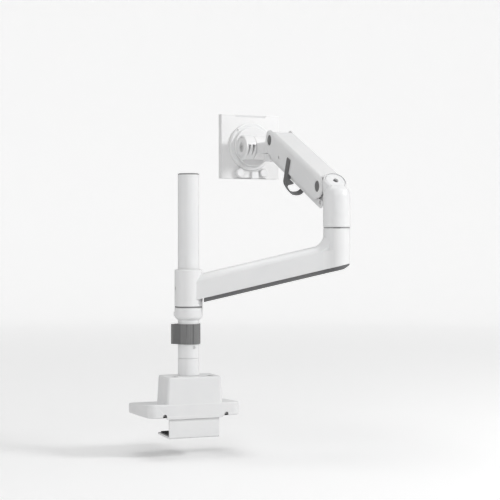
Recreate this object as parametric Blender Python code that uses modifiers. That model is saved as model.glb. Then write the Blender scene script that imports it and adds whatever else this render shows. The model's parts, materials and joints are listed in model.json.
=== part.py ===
"""Desk-clamped monitor arm on a pole: a wedge-foot base with a tower, a height collar, a cranked
lower arm, an elbow with a tension screw, a gas-spring parallelogram arm and a tilting, turning
quick-release screen plate.

Frame: +Z up, origin on the pole's axis in the plane of the desk top, +X along the desk edge and
+Y over the desk, towards the screen.  Dimensions are millimetres and are scaled by MM.
"""
import math

import bmesh
import bpy
from mathutils import Matrix, Vector

# ---------------------------------------------------------------- driving dimensions (mm, degrees)
MM = 0.001
GAP = 0.3                      # clearance between pieces that rest on each other
ROUND = 22                     # facets on a large turned piece
MID_ROUND = 16                 # facets on a cap or a bolt head
SMALL_ROUND = 10               # facets on a pin or screw
TOOL_TURN = 4.1                # keeps a round tool's facets off the facets of what it cuts

POLE_RADIUS = 17.5
POLE_BORE = 15.6
POLE_TOP = 394.0
CAP_TOP = 396.0
STUB_RADIUS = 14.0
STUB_TOP = 190.0
RING_TOP = 93.5                # top of the plain ring under the pole

PAD_TOP = 2.0
SLAB_FRONT = -34.0
SLAB_BACK = 68.0
SLAB_HALF_FRONT = 78.0
SLAB_HALF_BACK = 86.0
SLAB_TOP_FRONT = 22.5
SLAB_TOP_BACK = 16.0
TOWER_HALF_TOP = 45.4
TOWER_HALF_FOOT = 48.5
TOWER_FRONT = -33.0
TOWER_BACK = 23.0
TOWER_TOP = 65.5
WALL = 3.0                     # moulded wall of the base cover
SIDE_WALL = 2.0                # the tower's side walls thin towards the top, clear of the jaw
ROOF_FOOT = 58.5               # underside of the tower's roof, which carries the clamp screws
SCREW_SEAT = 61.5              # floor of the counterbores the clamp screws' heads sit in
APRON_FOOT = -2.0              # the front skirt hides the pad's edge
NOTCH_X = (-51.0, 54.0)        # half-round cable notches in the front skirt
NOTCH_RADIUS = 3.5

JAW_HALF = 42.7
JAW_PLATE = 3.5
JAW_FRONT = -30.0
JAW_TOP = 50.0
JAW_FOOT = -34.0
JAW_REACH = 32.0
CLAMP_SCREW_X = 30.0
CLAMP_SCREW_Y = -18.0

COLLAR_FOOT = 156.5
COLLAR_TOP = 176.6
COLLAR_RADIUS = 23.0
HUB_FOOT = 178.6
HUB_TOP = 239.0

ARM_YAW = -21.0                # plan angle of the lower arm from +X
ARM_LENGTH = 243.0
ARM_SLOPE = 0.2364             # rise of the beam per unit length
BEAM_TOP = 227.5               # height of the beam's top line above the pole's axis
BEAM_DEPTH = 41.0
BEAM_HALF = 18.5
POST_RADIUS = 22.2
POST_TOP = 306.0

ELBOW_RADIUS = 22.5
ELBOW_FOOT = 308.3
ELBOW_SHOULDER = 362.0
LIFT_OFFSET = 31.2             # elbow axis to the spring arm's rear pivot
LIFT_HEIGHT = 376.0
ARM_PITCH = 22.75              # spring arm's climb at rest
SPRING_ARM = 230.2             # rear pivot to head pivot
LINK_DROP = 27.0               # lower link's pivots below the shell's pivots
ANCHOR = (-1.0, -16.0)         # gas spring's anchor on the elbow, from the rear pivot
CAP_CENTRE = (-26.0, 9.0)      # sloping elbow cap's centre, from the rear pivot

SHELL_HALF = 22.0
SHELL_INNER = 19.0
SKIRT = -24.0                  # lower edge of the shell's sides
TONGUE_HALF = 13.0
SLOT_HALF = 8.0
LINK_HALF = 16.5
LINK_WALL = 3.0
SPRING_LINE = -13.3            # gas spring's axis below the shell's pivot line

HEAD_YAW = 5.0                 # the head stands turned by this much
SWIVEL_REACH = 32.0            # head pivot to the swivel axis
TILT_REACH = 61.0              # swivel axis to the tilt axis
TILT_RISE = -8.0               # tilt axis above the head pivot
BARREL_END = 36.5              # half the length of the tilt barrel
PLATE_REACH = 36.3             # tilt axis to the front plate's near face
PLATE_RISE = 3.5               # the plate's axis above the tilt axis
PLATE_HALF = 60.0
PLATE_DEPTH = 14.5             # near face of the front plate to the screen face
DISC_RADIUS = 44.5
THUMB_X = 25.0
THUMB_Z = -49.0

# ---------------------------------------------------------------- scene, collections, materials
for old in list(bpy.data.objects):
    bpy.data.objects.remove(old, do_unlink=True)

PARTS = bpy.data.collections.new("monitor_arm")
CUTTERS = bpy.data.collections.new("cutters")
bpy.context.scene.collection.children.link(PARTS)
bpy.context.scene.collection.children.link(CUTTERS)


def principled(name, colour, roughness, metallic=0.0):
    """A plain Principled material."""
    material = bpy.data.materials.new(name)
    material.use_nodes = True
    shader = material.node_tree.nodes["Principled BSDF"]
    shader.inputs["Base Color"].default_value = (*colour, 1.0)
    shader.inputs["Roughness"].default_value = roughness
    shader.inputs["Metallic"].default_value = metallic
    return material


WHITE_PAINT = principled("white_paint", (0.80, 0.80, 0.80), 0.38)
WHITE_PLASTIC = principled("white_plastic", (0.78, 0.78, 0.78), 0.45)
DARK_PLASTIC = principled("dark_plastic", (0.13, 0.13, 0.135), 0.5)
RUBBER = principled("rubber", (0.03, 0.03, 0.03), 0.85)
CHROME = principled("chrome", (0.80, 0.80, 0.80), 0.08, 1.0)
STEEL = principled("steel", (0.55, 0.55, 0.56), 0.3, 1.0)


# ---------------------------------------------------------------- joint frames
def frame(name, location, turn=(0, 0, 0), parent=None):
    """An empty on a joint's axis; its children are placed in its own millimetre frame."""
    empty = bpy.data.objects.new(name, None)
    empty.empty_display_size = 0.02
    empty.parent = parent
    empty.location = Vector(location) * MM
    empty.rotation_euler = [math.radians(angle) for angle in turn]
    PARTS.objects.link(empty)
    return empty


BASE = frame("base_frame", (0, 0, 0))
JAW = frame("jaw_frame", (0, 0, 0), parent=BASE)
COLLAR = frame("collar_frame", (0, 0, 0), parent=BASE)
LOWER = frame("lower_arm_frame", (0, 0, 0), turn=(0, 0, ARM_YAW), parent=COLLAR)
ELBOW = frame("elbow_frame", (ARM_LENGTH, 0, 0), turn=(0, 0, -ARM_YAW), parent=LOWER)
LIFT = frame("lift_axis", (0, LIFT_OFFSET, LIFT_HEIGHT), parent=ELBOW)
SPRING = frame("spring_arm_frame", (0, 0, 0), turn=(ARM_PITCH, 0, 0), parent=LIFT)
LINK = frame("link_frame", (0, 0, -LINK_DROP), turn=(ARM_PITCH, 0, 0), parent=LIFT)
HEAD = frame("head_frame", (0, SPRING_ARM, 0), turn=(-ARM_PITCH, 0, 0), parent=SPRING)
SWIVEL = frame("swivel_frame", (0, SWIVEL_REACH, 0), turn=(0, 0, HEAD_YAW), parent=HEAD)
TILT = frame("tilt_frame", (0, TILT_REACH, TILT_RISE), parent=SWIVEL)
PLATE = frame("plate_frame", (0, PLATE_REACH, PLATE_RISE), parent=TILT)

# Own-frame axes (x, y, z of a flat outline) laid on the frame's axes.
FLAT = Matrix.Identity(4)                                                # outline in XY
SIDE = Matrix(((0, 0, 1, 0), (1, 0, 0, 0), (0, 1, 0, 0), (0, 0, 0, 1)))  # outline in YZ, depth X
FRONT = Matrix(((1, 0, 0, 0), (0, 0, -1, 0), (0, 1, 0, 0), (0, 0, 0, 1)))  # outline in XZ, depth -Y


# ---------------------------------------------------------------- building blocks
def add(name, mesh, parent, material):
    """Link a mesh as one named sub-part under its joint frame; no material means a cutter."""
    piece = bpy.data.objects.new(name, mesh)
    piece.parent = parent
    if material is None:
        CUTTERS.objects.link(piece)
        piece.hide_render = True
        piece.display_type = "WIRE"
    else:
        PARTS.objects.link(piece)
        mesh.materials.clear()
        mesh.materials.append(material)
    return piece


def smooth(piece, angle=35):
    """Shade a round piece smooth, keeping its hard edges."""
    piece.data.shade_smooth()
    piece.data.set_sharp_from_angle(angle=math.radians(angle))


def turned(name, profile, parent, material, centre=(0, 0, 0), axis=(0, 0, 1), steps=ROUND):
    """A turned piece: (radius, height) points down the outer side, round the given axis.

    A profile that starts and ends on the axis is solid; any other is closed into a ring.
    """
    mesh = bpy.data.meshes.new(name)
    lines = bmesh.new()
    points = [lines.verts.new((radius * MM, 0, height * MM)) for radius, height in profile]
    for first, second in zip(points, points[1:]):
        lines.edges.new((first, second))
    if profile[0][0] > 0:
        lines.edges.new((points[-1], points[0]))
    lines.to_mesh(mesh)
    lines.free()
    piece = add(name, mesh, parent, material)
    piece.location = Vector(centre) * MM
    turn = Vector((0, 0, 1)).rotation_difference(Vector(axis)).to_matrix()
    if material is None:
        turn = turn @ Matrix.Rotation(math.radians(TOOL_TURN), 3, "Z")
    piece.rotation_euler = turn.to_euler()
    screw = piece.modifiers.new("turn", "SCREW")
    screw.steps = screw.render_steps = steps
    screw.use_merge_vertices = True
    screw.merge_threshold = 0.00001
    screw.use_smooth_shade = True
    return piece


def rod(name, radius, low, high, parent, material, centre=(0, 0, 0), axis=(0, 0, 1),
        steps=SMALL_ROUND, ease=0.0):
    """A plain cylinder from low to high along its axis, with its rims eased if asked."""
    if ease:
        profile = [(0, high), (radius - ease, high), (radius, high - ease),
                   (radius, low + ease), (radius - ease, low), (0, low)]
    else:
        profile = [(0, high), (radius, high), (radius, low), (0, low)]
    return turned(name, profile, parent, material, centre, axis, steps)


def tube(name, outer, inner, low, high, parent, material, centre=(0, 0, 0), axis=(0, 0, 1),
         steps=ROUND):
    """A plain ring or tube from low to high along its axis."""
    profile = [(inner, high), (outer, high), (outer, low), (inner, low)]
    return turned(name, profile, parent, material, centre, axis, steps)


def box(name, low, high, parent, material, bevel=0.0, segments=1):
    """A block between two corners, its edges rounded by a live Bevel."""
    mesh = bpy.data.meshes.new(name)
    block = bmesh.new()
    size = [(b - a) * MM for a, b in zip(low, high)]
    centre = [(a + b) / 2 * MM for a, b in zip(low, high)]
    place = Matrix.Translation(centre) @ Matrix.Diagonal((*size, 1))
    bmesh.ops.create_cube(block, size=1.0, matrix=place)
    block.to_mesh(mesh)
    block.free()
    piece = add(name, mesh, parent, material)
    if bevel:
        round_edges(piece, bevel, segments)
    return piece


def lofted(name, rings, parent, material):
    """A closed solid through rings of points that all have the same count."""
    mesh = bpy.data.meshes.new(name)
    skin = bmesh.new()
    loops = [[skin.verts.new(Vector(point) * MM) for point in ring] for ring in rings]
    for near, far in zip(loops, loops[1:]):
        for i, corner in enumerate(near):
            j = (i + 1) % len(near)
            skin.faces.new((corner, near[j], far[j], far[i]))
    skin.faces.new(loops[0])
    skin.faces.new(loops[-1])
    bmesh.ops.recalc_face_normals(skin, faces=skin.faces)
    skin.to_mesh(mesh)
    skin.free()
    return add(name, mesh, parent, material)


def round_edges(piece, width, segments=1, angle=40):
    """A live Bevel on the piece's hard edges."""
    bevel = piece.modifiers.new("round", "BEVEL")
    bevel.width = width * MM
    bevel.segments = segments
    bevel.limit_method = "ANGLE"
    bevel.angle_limit = math.radians(angle)
    return bevel


def outline(name, loops, depth, parent, material, lay=FLAT, centre=(0, 0, 0), shear=None):
    """A flat outline of a rim and its holes, made into a welded plate of the given depth."""
    curve = bpy.data.curves.new(name, "CURVE")
    curve.dimensions = "2D"
    curve.fill_mode = "BOTH"
    curve.extrude = depth / 2 * MM
    for loop in loops:
        spline = curve.splines.new("POLY")
        spline.points.add(len(loop) - 1)
        for point, (x, y) in zip(spline.points, loop):
            point.co = (x * MM, y * MM, 0, 1)
        spline.use_cyclic_u = True
    guide = bpy.data.objects.new(name + "_outline", curve)
    CUTTERS.objects.link(guide)
    graph = bpy.context.evaluated_depsgraph_get()
    mesh = bpy.data.meshes.new_from_object(guide.evaluated_get(graph))
    mesh.name = name
    bpy.data.objects.remove(guide, do_unlink=True)
    weld = bmesh.new()
    weld.from_mesh(mesh)
    bmesh.ops.remove_doubles(weld, verts=weld.verts, dist=0.00001)
    if len(loops) == 1:
        bmesh.ops.dissolve_limit(weld, angle_limit=0.002, verts=weld.verts, edges=weld.edges)
    bmesh.ops.recalc_face_normals(weld, faces=weld.faces)
    weld.to_mesh(mesh)
    weld.free()
    mesh.transform(Matrix.Translation(Vector(centre) * MM) @ lay)
    if shear is not None:
        mesh.transform(shear)
    return add(name, mesh, parent, material)


def combine(target, operation, *tools):
    """Join or cut the target with tools, each an exact live Boolean."""
    for tool in tools:
        tool.hide_render = True
        tool.display_type = "WIRE"
        for home in list(tool.users_collection):
            home.objects.unlink(tool)
        CUTTERS.objects.link(tool)
        step = target.modifiers.new(operation.lower(), "BOOLEAN")
        step.operation = operation
        step.solver = "EXACT"
        step.object = tool
    return target


def cut(target, *tools):
    return combine(target, "DIFFERENCE", *tools)


def join(target, *tools):
    return combine(target, "UNION", *tools)


def arc(centre, radius, start, stop, steps):
    """Points along an arc, in degrees, anticlockwise when stop is the larger."""
    angles = [math.radians(start + (stop - start) * i / steps) for i in range(steps + 1)]
    return [(centre[0] + radius * math.cos(a), centre[1] + radius * math.sin(a)) for a in angles]


def circle(centre, radius, steps=SMALL_ROUND):
    return arc(centre, radius, 0, 360, steps)[:-1]


def rounded(corners, radii, steps=4):
    """A polygon with each corner rounded by its own radius."""
    points = []
    count = len(corners)
    for i, (corner, radius) in enumerate(zip(corners, radii)):
        here = Vector(corner)
        before = (Vector(corners[i - 1]) - here).normalized()
        after = (Vector(corners[(i + 1) % count]) - here).normalized()
        if radius <= 0:
            points.append(corner)
            continue
        half = before.angle(after) / 2
        reach = radius / math.tan(half)
        middle = here + (before + after).normalized() * (radius / math.sin(half))
        first = here + before * reach - middle
        last = here + after * reach - middle
        sweep = first.angle_signed(last)
        for k in range(steps + 1):
            arm = first.copy()
            arm.rotate(Matrix.Rotation(-sweep * k / steps, 2))
            points.append(tuple(middle + arm))
    return points


def slot_shape(first, second, radius, steps=6):
    """A straight bar with round ends about two points."""
    turn = math.degrees(math.atan2(second[1] - first[1], second[0] - first[0]))
    far = arc(second, radius, turn - 90, turn + 90, steps)
    return far + arc(first, radius, turn + 90, turn + 270, steps)


# ---------------------------------------------------------------- base: foot, pole and clamp
def tapered_block(name, foot, head, low, high, parent, material, radius, steps=4):
    """A rounded block lofted between two rectangles (x0, y0, x1, y1) at two heights."""
    rings = []
    mesh = bpy.data.meshes.new(name)
    block = bmesh.new()
    for rect, level in ((foot, low), (head, high)):
        x0, y0, x1, y1 = rect
        loop = rounded([(x0, y0), (x1, y0), (x1, y1), (x0, y1)], [radius] * 4, steps)
        rings.append([block.verts.new((x * MM, y * MM, level * MM)) for x, y in loop])
    edges = [[block.edges.new((a, b)) for a, b in zip(ring, ring[1:] + ring[:1])]
             for ring in rings]
    bmesh.ops.bridge_loops(block, edges=edges[0] + edges[1])
    for ring in rings:
        block.faces.new(ring)
    bmesh.ops.recalc_face_normals(block, faces=block.faces)
    block.to_mesh(mesh)
    block.free()
    return add(name, mesh, parent, material)


def slab_block(name, inset, low, material):
    """The foot's slab: it widens and thins towards the back."""
    fall = (SLAB_TOP_FRONT - SLAB_TOP_BACK) / (SLAB_BACK - SLAB_FRONT)
    corners = [(-SLAB_HALF_FRONT + inset, SLAB_FRONT + inset),
               (SLAB_HALF_FRONT - inset, SLAB_FRONT + inset),
               (SLAB_HALF_BACK - inset, SLAB_BACK - inset),
               (-SLAB_HALF_BACK + inset, SLAB_BACK - inset)]
    radii = [14 - inset, 14 - inset, 12 - inset, 12 - inset]
    loop = rounded(corners, radii, 5)
    high = SLAB_TOP_FRONT - inset
    piece = outline(name, [loop], high - low, BASE, material, centre=(0, 0, (high + low) / 2))
    for vertex in piece.data.vertices:
        if vertex.co.z > (high + low) / 2 * MM:
            vertex.co.z -= fall * (vertex.co.y - SLAB_FRONT * MM)
    return piece


def make_base():
    """The moulded cover with its hollow, the steel plate inside it and the rubber pad."""
    cover = slab_block("base_cover", 0.0, 0.5, WHITE_PLASTIC)
    round_edges(cover, 2.0)
    tower = tapered_block("tower_block",
                          (-TOWER_HALF_FOOT, TOWER_FRONT - 0.8, TOWER_HALF_FOOT, TOWER_BACK + 2),
                          (-TOWER_HALF_TOP, TOWER_FRONT, TOWER_HALF_TOP, TOWER_BACK),
                          3.0, TOWER_TOP, BASE, None, 4.5)
    round_edges(tower, 2.5, angle=60)
    apron = box("apron_block", (-TOWER_HALF_FOOT, TOWER_FRONT - 0.8, APRON_FOOT),
                (TOWER_HALF_FOOT, JAW_FRONT - GAP, 8), BASE, None, bevel=0.6)
    join(cover, tower, apron)
    slab_hollow = slab_block("slab_hollow", WALL, -3.0, None)
    tower_hollow = tapered_block("tower_hollow",
                                 (-TOWER_HALF_FOOT + WALL, JAW_FRONT - GAP,
                                  TOWER_HALF_FOOT - WALL, TOWER_BACK - WALL),
                                 (-TOWER_HALF_TOP + SIDE_WALL, JAW_FRONT - GAP,
                                  TOWER_HALF_TOP - SIDE_WALL, TOWER_BACK - WALL),
                                 -4.0, ROOF_FOOT, BASE, None, 0.0)
    pole_hole = rod("pole_hole", STUB_RADIUS + 0.6, 50, 80, BASE, None, steps=ROUND)
    notches = [rod("notch", NOTCH_RADIUS, 25, 42, BASE, None, centre=(x, 0, 3.2), axis=(0, -1, 0))
               for x in NOTCH_X]
    slots = [box("notch_slot", (x - NOTCH_RADIUS, -42, -4), (x + NOTCH_RADIUS, -25, 3.2), BASE, None)
             for x in NOTCH_X]
    wells = [turned(f"screw_well_{side}", [(0, 80), (6.0, 80), (6.0, SCREW_SEAT), (3.4, SCREW_SEAT),
                                           (3.4, 50), (0, 50)], BASE, None,
                    centre=(side * CLAMP_SCREW_X, CLAMP_SCREW_Y, 0), steps=SMALL_ROUND)
             for side in (-1, 1)]
    cut(cover, slab_hollow, tower_hollow, pole_hole, *notches, *slots, *wells)

    plate_rim = rounded([(-66, JAW_FRONT + JAW_PLATE + 2 * GAP), (66, JAW_FRONT + JAW_PLATE + 2 * GAP),
                         (71, 61), (-71, 61)], [8, 8, 8, 8])
    outline("base_plate", [plate_rim, circle((0, 0), 5.3)], 6.0, BASE, STEEL,
            centre=(0, 0, PAD_TOP + GAP + 3.0))
    pad_rim = rounded([(-68, JAW_FRONT + JAW_PLATE + 2 * GAP), (68, JAW_FRONT + JAW_PLATE + 2 * GAP),
                       (74, 63), (-74, 63)], [9, 9, 9, 9])
    outline("desk_pad", [pad_rim], PAD_TOP, BASE, RUBBER, centre=(0, 0, PAD_TOP / 2))


def make_pole():
    """Chromed stub post, plain ring, pole tube, cap, cable clip and locking screw."""
    foot = PAD_TOP + 6.0 + 2 * GAP
    grooves = [(0, STUB_TOP), (STUB_RADIUS - 1.5, STUB_TOP), (STUB_RADIUS, STUB_TOP - 1.5)]
    for level in (STUB_TOP - 34, STUB_TOP - 56):
        grooves += [(STUB_RADIUS, level + 2.2), (STUB_RADIUS - 1.2, level + 1.2),
                    (STUB_RADIUS - 1.2, level - 1.2), (STUB_RADIUS, level - 2.2)]
    turned("stub_post", grooves + [(STUB_RADIUS, foot), (0, foot)], BASE, CHROME)
    tube("post_ring", POLE_RADIUS, STUB_RADIUS + GAP, TOWER_TOP + GAP, RING_TOP, BASE, WHITE_PAINT)
    pole = tube("pole", POLE_RADIUS, POLE_BORE, RING_TOP + GAP, POLE_TOP, BASE, WHITE_PAINT)
    screw_axis = (math.sin(math.radians(12)), -math.cos(math.radians(12)), 0)
    cut(pole, rod("pole_screw_hole", 2.8, 8, 24, BASE, None, centre=(0, 0, 112), axis=screw_axis))
    screw = rod("pole_grub_screw", 2.5, STUB_RADIUS + GAP, POLE_RADIUS - 0.3, BASE, STEEL,
                centre=(0, 0, 112), axis=screw_axis)
    smooth(screw)
    rim = POLE_RADIUS
    turned("pole_cap", [(0, CAP_TOP), (rim - 1.6, CAP_TOP), (rim, CAP_TOP - 0.9),
                        (rim, POLE_TOP + GAP), (POLE_BORE - GAP, POLE_TOP + GAP),
                        (POLE_BORE - GAP, POLE_TOP - 14), (0, POLE_TOP - 14)], BASE, DARK_PLASTIC)
    make_pole_clip()


def make_pole_clip():
    """A cable clip: a snap-on band round the pole with a round channel, open behind, on its left."""
    bore = POLE_RADIUS + 0.35
    skin = bore + 1.6
    channel = (-22.6, 4.4)                        # middle of the cable channel
    channel_radius, lobe_radius = 4.0, 6.0
    middle, height = 133.5, 33.0
    clip = outline("pole_clip", [arc((0, 0), skin, 148, 392, 18) + arc((0, 0), bore, 392, 148, 18)],
                   height, BASE, DARK_PLASTIC, centre=(0, 0, middle))
    lobe = outline("clip_lobe", [slot_shape(channel, (-4.5, -13.2), lobe_radius)], height - 0.2,
                   BASE, None, centre=(0, 0, middle))
    ridge = rod("clip_ridge", 1.5, middle - 16, middle + 16, BASE, None, centre=(3.4, -18.9, 0))
    groove = rod("clip_groove", 1.3, middle - 25, middle + 25, BASE, None, centre=(0.9, -20.2, 0))
    space = rod("clip_bore", bore, middle - 25, middle + 25, BASE, None, steps=32)
    passage = outline("clip_channel", [slot_shape(channel, (-31.0, 20.0), channel_radius)],
                      height + 6, BASE, None, centre=(0, 0, middle))
    join(clip, lobe, ridge)
    cut(clip, space, passage, groove)
    smooth(clip)


def make_clamp():
    """The sheet-steel jaw that hangs behind the skirt, its ribbed pad and its two screws."""
    low = JAW_FOOT
    profile = rounded([(JAW_FRONT, low), (JAW_REACH, low), (JAW_REACH, low + JAW_PLATE),
                       (JAW_FRONT + JAW_PLATE, low + JAW_PLATE),
                       (JAW_FRONT + JAW_PLATE, JAW_TOP - JAW_PLATE),
                       (-9, JAW_TOP - JAW_PLATE), (-9, JAW_TOP), (JAW_FRONT, JAW_TOP)],
                      [3.0, 0, 0, 0.8, 0.8, 0, 0, 3.0], 3)
    jaw = outline("clamp_bracket", [profile], 2 * JAW_HALF, JAW, WHITE_PAINT, lay=SIDE)
    tapped = [rod(f"tapped_hole_{side}", 3.3, 30, 60, JAW, None,
                  centre=(side * CLAMP_SCREW_X, CLAMP_SCREW_Y, 0)) for side in (-1, 1)]
    pole_relief = rod("pole_relief", STUB_RADIUS + 3, 30, 60, JAW, None)
    cut(jaw, *tapped, pole_relief)

    top = low + JAW_PLATE + GAP
    ribs = [(-24.5, top)]
    rib, pitch = 2.6, 5.2
    reach = JAW_REACH - 4
    ribs += [(reach, top), (reach, top + 1.0)]
    y = reach
    while y - pitch > -24.5:
        ribs += [(y, top + 1.8), (y - rib, top + 1.8), (y - rib, top + 1.0), (y - pitch, top + 1.0)]
        y -= pitch
    outline("clamp_pad", [ribs + [(-24.5, top + 1.0)]], 2 * JAW_HALF - 8, JAW, RUBBER, lay=SIDE)

    for side, word in ((-1, "left"), (1, "right")):
        spin = frame(f"clamp_screw_{word}_axis", (side * CLAMP_SCREW_X, CLAMP_SCREW_Y, 0), parent=BASE)
        head = SCREW_SEAT + GAP
        turned(f"clamp_screw_{word}", [(0, head + 1.2), (2.0, head + 1.2), (2.0, head + 3.5),
                                       (5.0, head + 3.5), (5.4, head + 3.0), (5.4, head),
                                       (3.0, head), (3.0, 9.0), (0, 9.0)], spin, STEEL,
               steps=SMALL_ROUND)


# ---------------------------------------------------------------- collar and lower arm
def make_collar():
    """The height collar with its pinch screw, and the slip washer the arm turns on."""
    bore = POLE_RADIUS + GAP
    collar = turned("collar", [(bore, COLLAR_TOP), (COLLAR_RADIUS - 0.8, COLLAR_TOP),
                               (COLLAR_RADIUS, COLLAR_TOP - 0.8), (COLLAR_RADIUS, COLLAR_FOOT + 6),
                               (COLLAR_RADIUS - 1.2, COLLAR_FOOT + 2.8),
                               (COLLAR_RADIUS - 3.8, COLLAR_FOOT + 0.8),
                               (COLLAR_RADIUS - 4.6, COLLAR_FOOT), (bore, COLLAR_FOOT)],
                    COLLAR, WHITE_PAINT, steps=ROUND)
    place = (0, 0, 166.0)
    axis = (math.cos(math.radians(168)), math.sin(math.radians(168)), 0)
    boss = rod("collar_boss", 3.8, 19, COLLAR_RADIUS + 1.2, COLLAR, None, place, axis)
    join(collar, boss)
    cut(collar, rod("collar_screw_hole", 2.8, 16, 30, COLLAR, None, place, axis))
    smooth(rod("collar_screw", 2.5, bore + 0.1, COLLAR_RADIUS + 0.8, COLLAR, STEEL, place, axis))
    tube("collar_washer", COLLAR_RADIUS - 0.3, bore, COLLAR_TOP + GAP, HUB_FOOT - GAP, COLLAR,
         DARK_PLASTIC)


def slope_matrix():
    """Raises everything by ARM_SLOPE per unit of x."""
    shear = Matrix.Identity(4)
    shear[2][0] = ARM_SLOPE
    return shear


def beam_piece(name, section, start, stop, material):
    """A section in the local YZ plane, run along the arm and sheared up its slope."""
    return outline(name, [section], stop - start, LOWER, material, lay=SIDE,
                   centre=((start + stop) / 2, 0, 0), shear=slope_matrix())


def post_fillet(crest, lean, top):
    """The beam's arched top swept up into the post's side."""
    sweep, start = 23.0, math.degrees(math.atan(ARM_SLOPE))
    centre_x = ARM_LENGTH - POST_RADIUS + 0.6 - sweep
    foot_x = centre_x + sweep * math.sin(math.radians(start))
    centre_z = top - 0.3 + ARM_SLOPE * foot_x + sweep * math.cos(math.radians(start))
    crown = arc((0, 0), crest, 90 - lean, 90 + lean, 6)
    section = [(x, crest - y) for x, y in crown]                 # across, and down from the crest
    section += [(-crest * 0.8, crest * 0.85), (crest * 0.8, crest * 0.85)]
    rings = []
    for k in range(8):
        turn = math.radians(start + (90 - start) * k / 7)
        ring = [(centre_x + (sweep + deep) * math.sin(turn), across,
                 centre_z - (sweep + deep) * math.cos(turn)) for across, deep in section]
        rings.append(ring)
    rings.append([(x, y, z + 2.0) for x, y, z in rings[-1]])
    return lofted("post_fillet", rings, LOWER, None)


def beam_flare(way, low, high):
    """A hollow curve that carries the beam's side over into the round post."""
    sweep = 60.0
    run = math.sqrt((POST_RADIUS + sweep) ** 2 - (BEAM_HALF + sweep) ** 2)
    end = math.degrees(math.atan2(BEAM_HALF + sweep, run))
    curve = arc((ARM_LENGTH - run, BEAM_HALF + sweep), sweep, -90, -end, 4)
    loop = curve + [(ARM_LENGTH - 4, BEAM_HALF - 3), (ARM_LENGTH - run, BEAM_HALF - 3)]
    return outline("beam_flare", [[(x, y * way) for x, y in loop]], high - low, LOWER, None,
                   centre=(0, 0, (low + high) / 2), shear=slope_matrix())


def make_lower_arm():
    """Hub, sloping hollow beam and elbow post in one casting, with a cover under the beam."""
    hub_bore = POLE_RADIUS + 2.2
    top, foot = BEAM_TOP, BEAM_TOP - BEAM_DEPTH
    arm = turned("lower_arm", [(0, HUB_TOP), (COLLAR_RADIUS - 1.5, HUB_TOP),
                               (COLLAR_RADIUS, HUB_TOP - 1.5), (COLLAR_RADIUS, HUB_FOOT + 0.6),
                               (COLLAR_RADIUS - 0.6, HUB_FOOT), (0, HUB_FOOT)], LOWER, WHITE_PAINT,
                 steps=ROUND)
    crest = 20.5                                  # radius of the beam's arched top
    lean = math.degrees(math.asin(BEAM_HALF / crest))
    crown = ([(-BEAM_HALF, foot), (BEAM_HALF, foot)]
             + arc((0, top - crest), crest, 90 - lean, 90 + lean, 8))
    beam = beam_piece("beam_block", crown, 4, ARM_LENGTH - 6, None)
    post_foot = foot + ARM_SLOPE * (ARM_LENGTH + 9.0)
    post = turned("post_block", [(0, POST_TOP), (POST_RADIUS - 0.6, POST_TOP),
                                 (POST_RADIUS, POST_TOP - 0.6), (POST_RADIUS, post_foot - 30),
                                 (0, post_foot - 30)], LOWER, None, centre=(ARM_LENGTH, 0, 0),
                  steps=ROUND)
    fillet = post_fillet(crest, lean - 1, top)
    below = beam_piece("below_beam", [(-60, foot - 90), (60, foot - 90), (60, foot), (-60, foot)],
                       COLLAR_RADIUS + 2, ARM_LENGTH + 60, None)
    flares = [beam_flare(way, foot, top - 12.2) for way in (-1, 1)]
    join(arm, beam, post, fillet, *flares)
    cut(arm, below)

    trough_half = BEAM_HALF - 4
    trough = beam_piece("cable_trough", rounded([(-trough_half, foot - 6), (trough_half, foot - 6),
                                                 (trough_half, top - 8), (-trough_half, top - 8)],
                                                [0, 0, 5, 5], 2), 27, ARM_LENGTH - 27, None)
    bore = rod("hub_bore", hub_bore, 170, 250, LOWER, None, steps=ROUND)
    post_bore = turned("post_bore", [(0, 320), (9.2, 320), (9.2, post_foot + 12),
                                     (4.4, post_foot + 12), (4.4, post_foot + 5.5),
                                     (8.4, post_foot + 5.5), (8.4, post_foot - 20),
                                     (0, post_foot - 20)], LOWER, None,
                       centre=(ARM_LENGTH, 0, 0), steps=MID_ROUND)
    dot_axis = (math.cos(math.radians(201)), math.sin(math.radians(201)), 0)
    screw_hole = rod("hub_screw_hole", 3.3, 16, 30, LOWER, None, (0, 0, 208), dot_axis)
    cut(arm, trough, bore, post_bore, screw_hole)

    tube("hub_bushing", hub_bore - GAP, POLE_RADIUS + GAP, HUB_FOOT + 0.4, HUB_TOP - 0.4, LOWER,
         DARK_PLASTIC)
    smooth(rod("hub_screw", 3.0, hub_bore + GAP, COLLAR_RADIUS - 0.4, LOWER, STEEL, (0, 0, 208),
               dot_axis))
    cover_half, cover_round = BEAM_HALF - 1.5, POST_RADIUS - 1.2
    spread = math.degrees(math.asin(cover_half / cover_round))
    cover_rim = ([(25.5, -cover_half)]
                 + arc((ARM_LENGTH, 0), cover_round, spread - 180, 180 - spread, 14)
                 + [(25.5, cover_half)])
    strip = outline("cable_cover", [cover_rim], 6.4, LOWER, DARK_PLASTIC,
                    centre=(0, 0, foot - GAP - 3.2), shear=slope_matrix())
    under = foot - GAP - 6.4 + ARM_SLOPE * ARM_LENGTH
    cut(strip, outline("cover_end", [[(ARM_LENGTH + 8, under + 1), (ARM_LENGTH + 40, under + 21),
                                      (ARM_LENGTH + 40, under - 20), (ARM_LENGTH + 8, under - 20)]],
                       80, LOWER, None, lay=FRONT))
    round_edges(strip, 1.2, angle=60)
    tube("elbow_washer", POST_RADIUS - 0.5, 8.8, POST_TOP + GAP, ELBOW_FOOT - GAP, LOWER,
         DARK_PLASTIC, centre=(ARM_LENGTH, 0, 0))
    tube("elbow_bushing", 8.9, 6.5, post_foot + 12 + GAP, POST_TOP - GAP, LOWER, DARK_PLASTIC,
         centre=(ARM_LENGTH, 0, 0), steps=MID_ROUND)
    return post_foot


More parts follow.
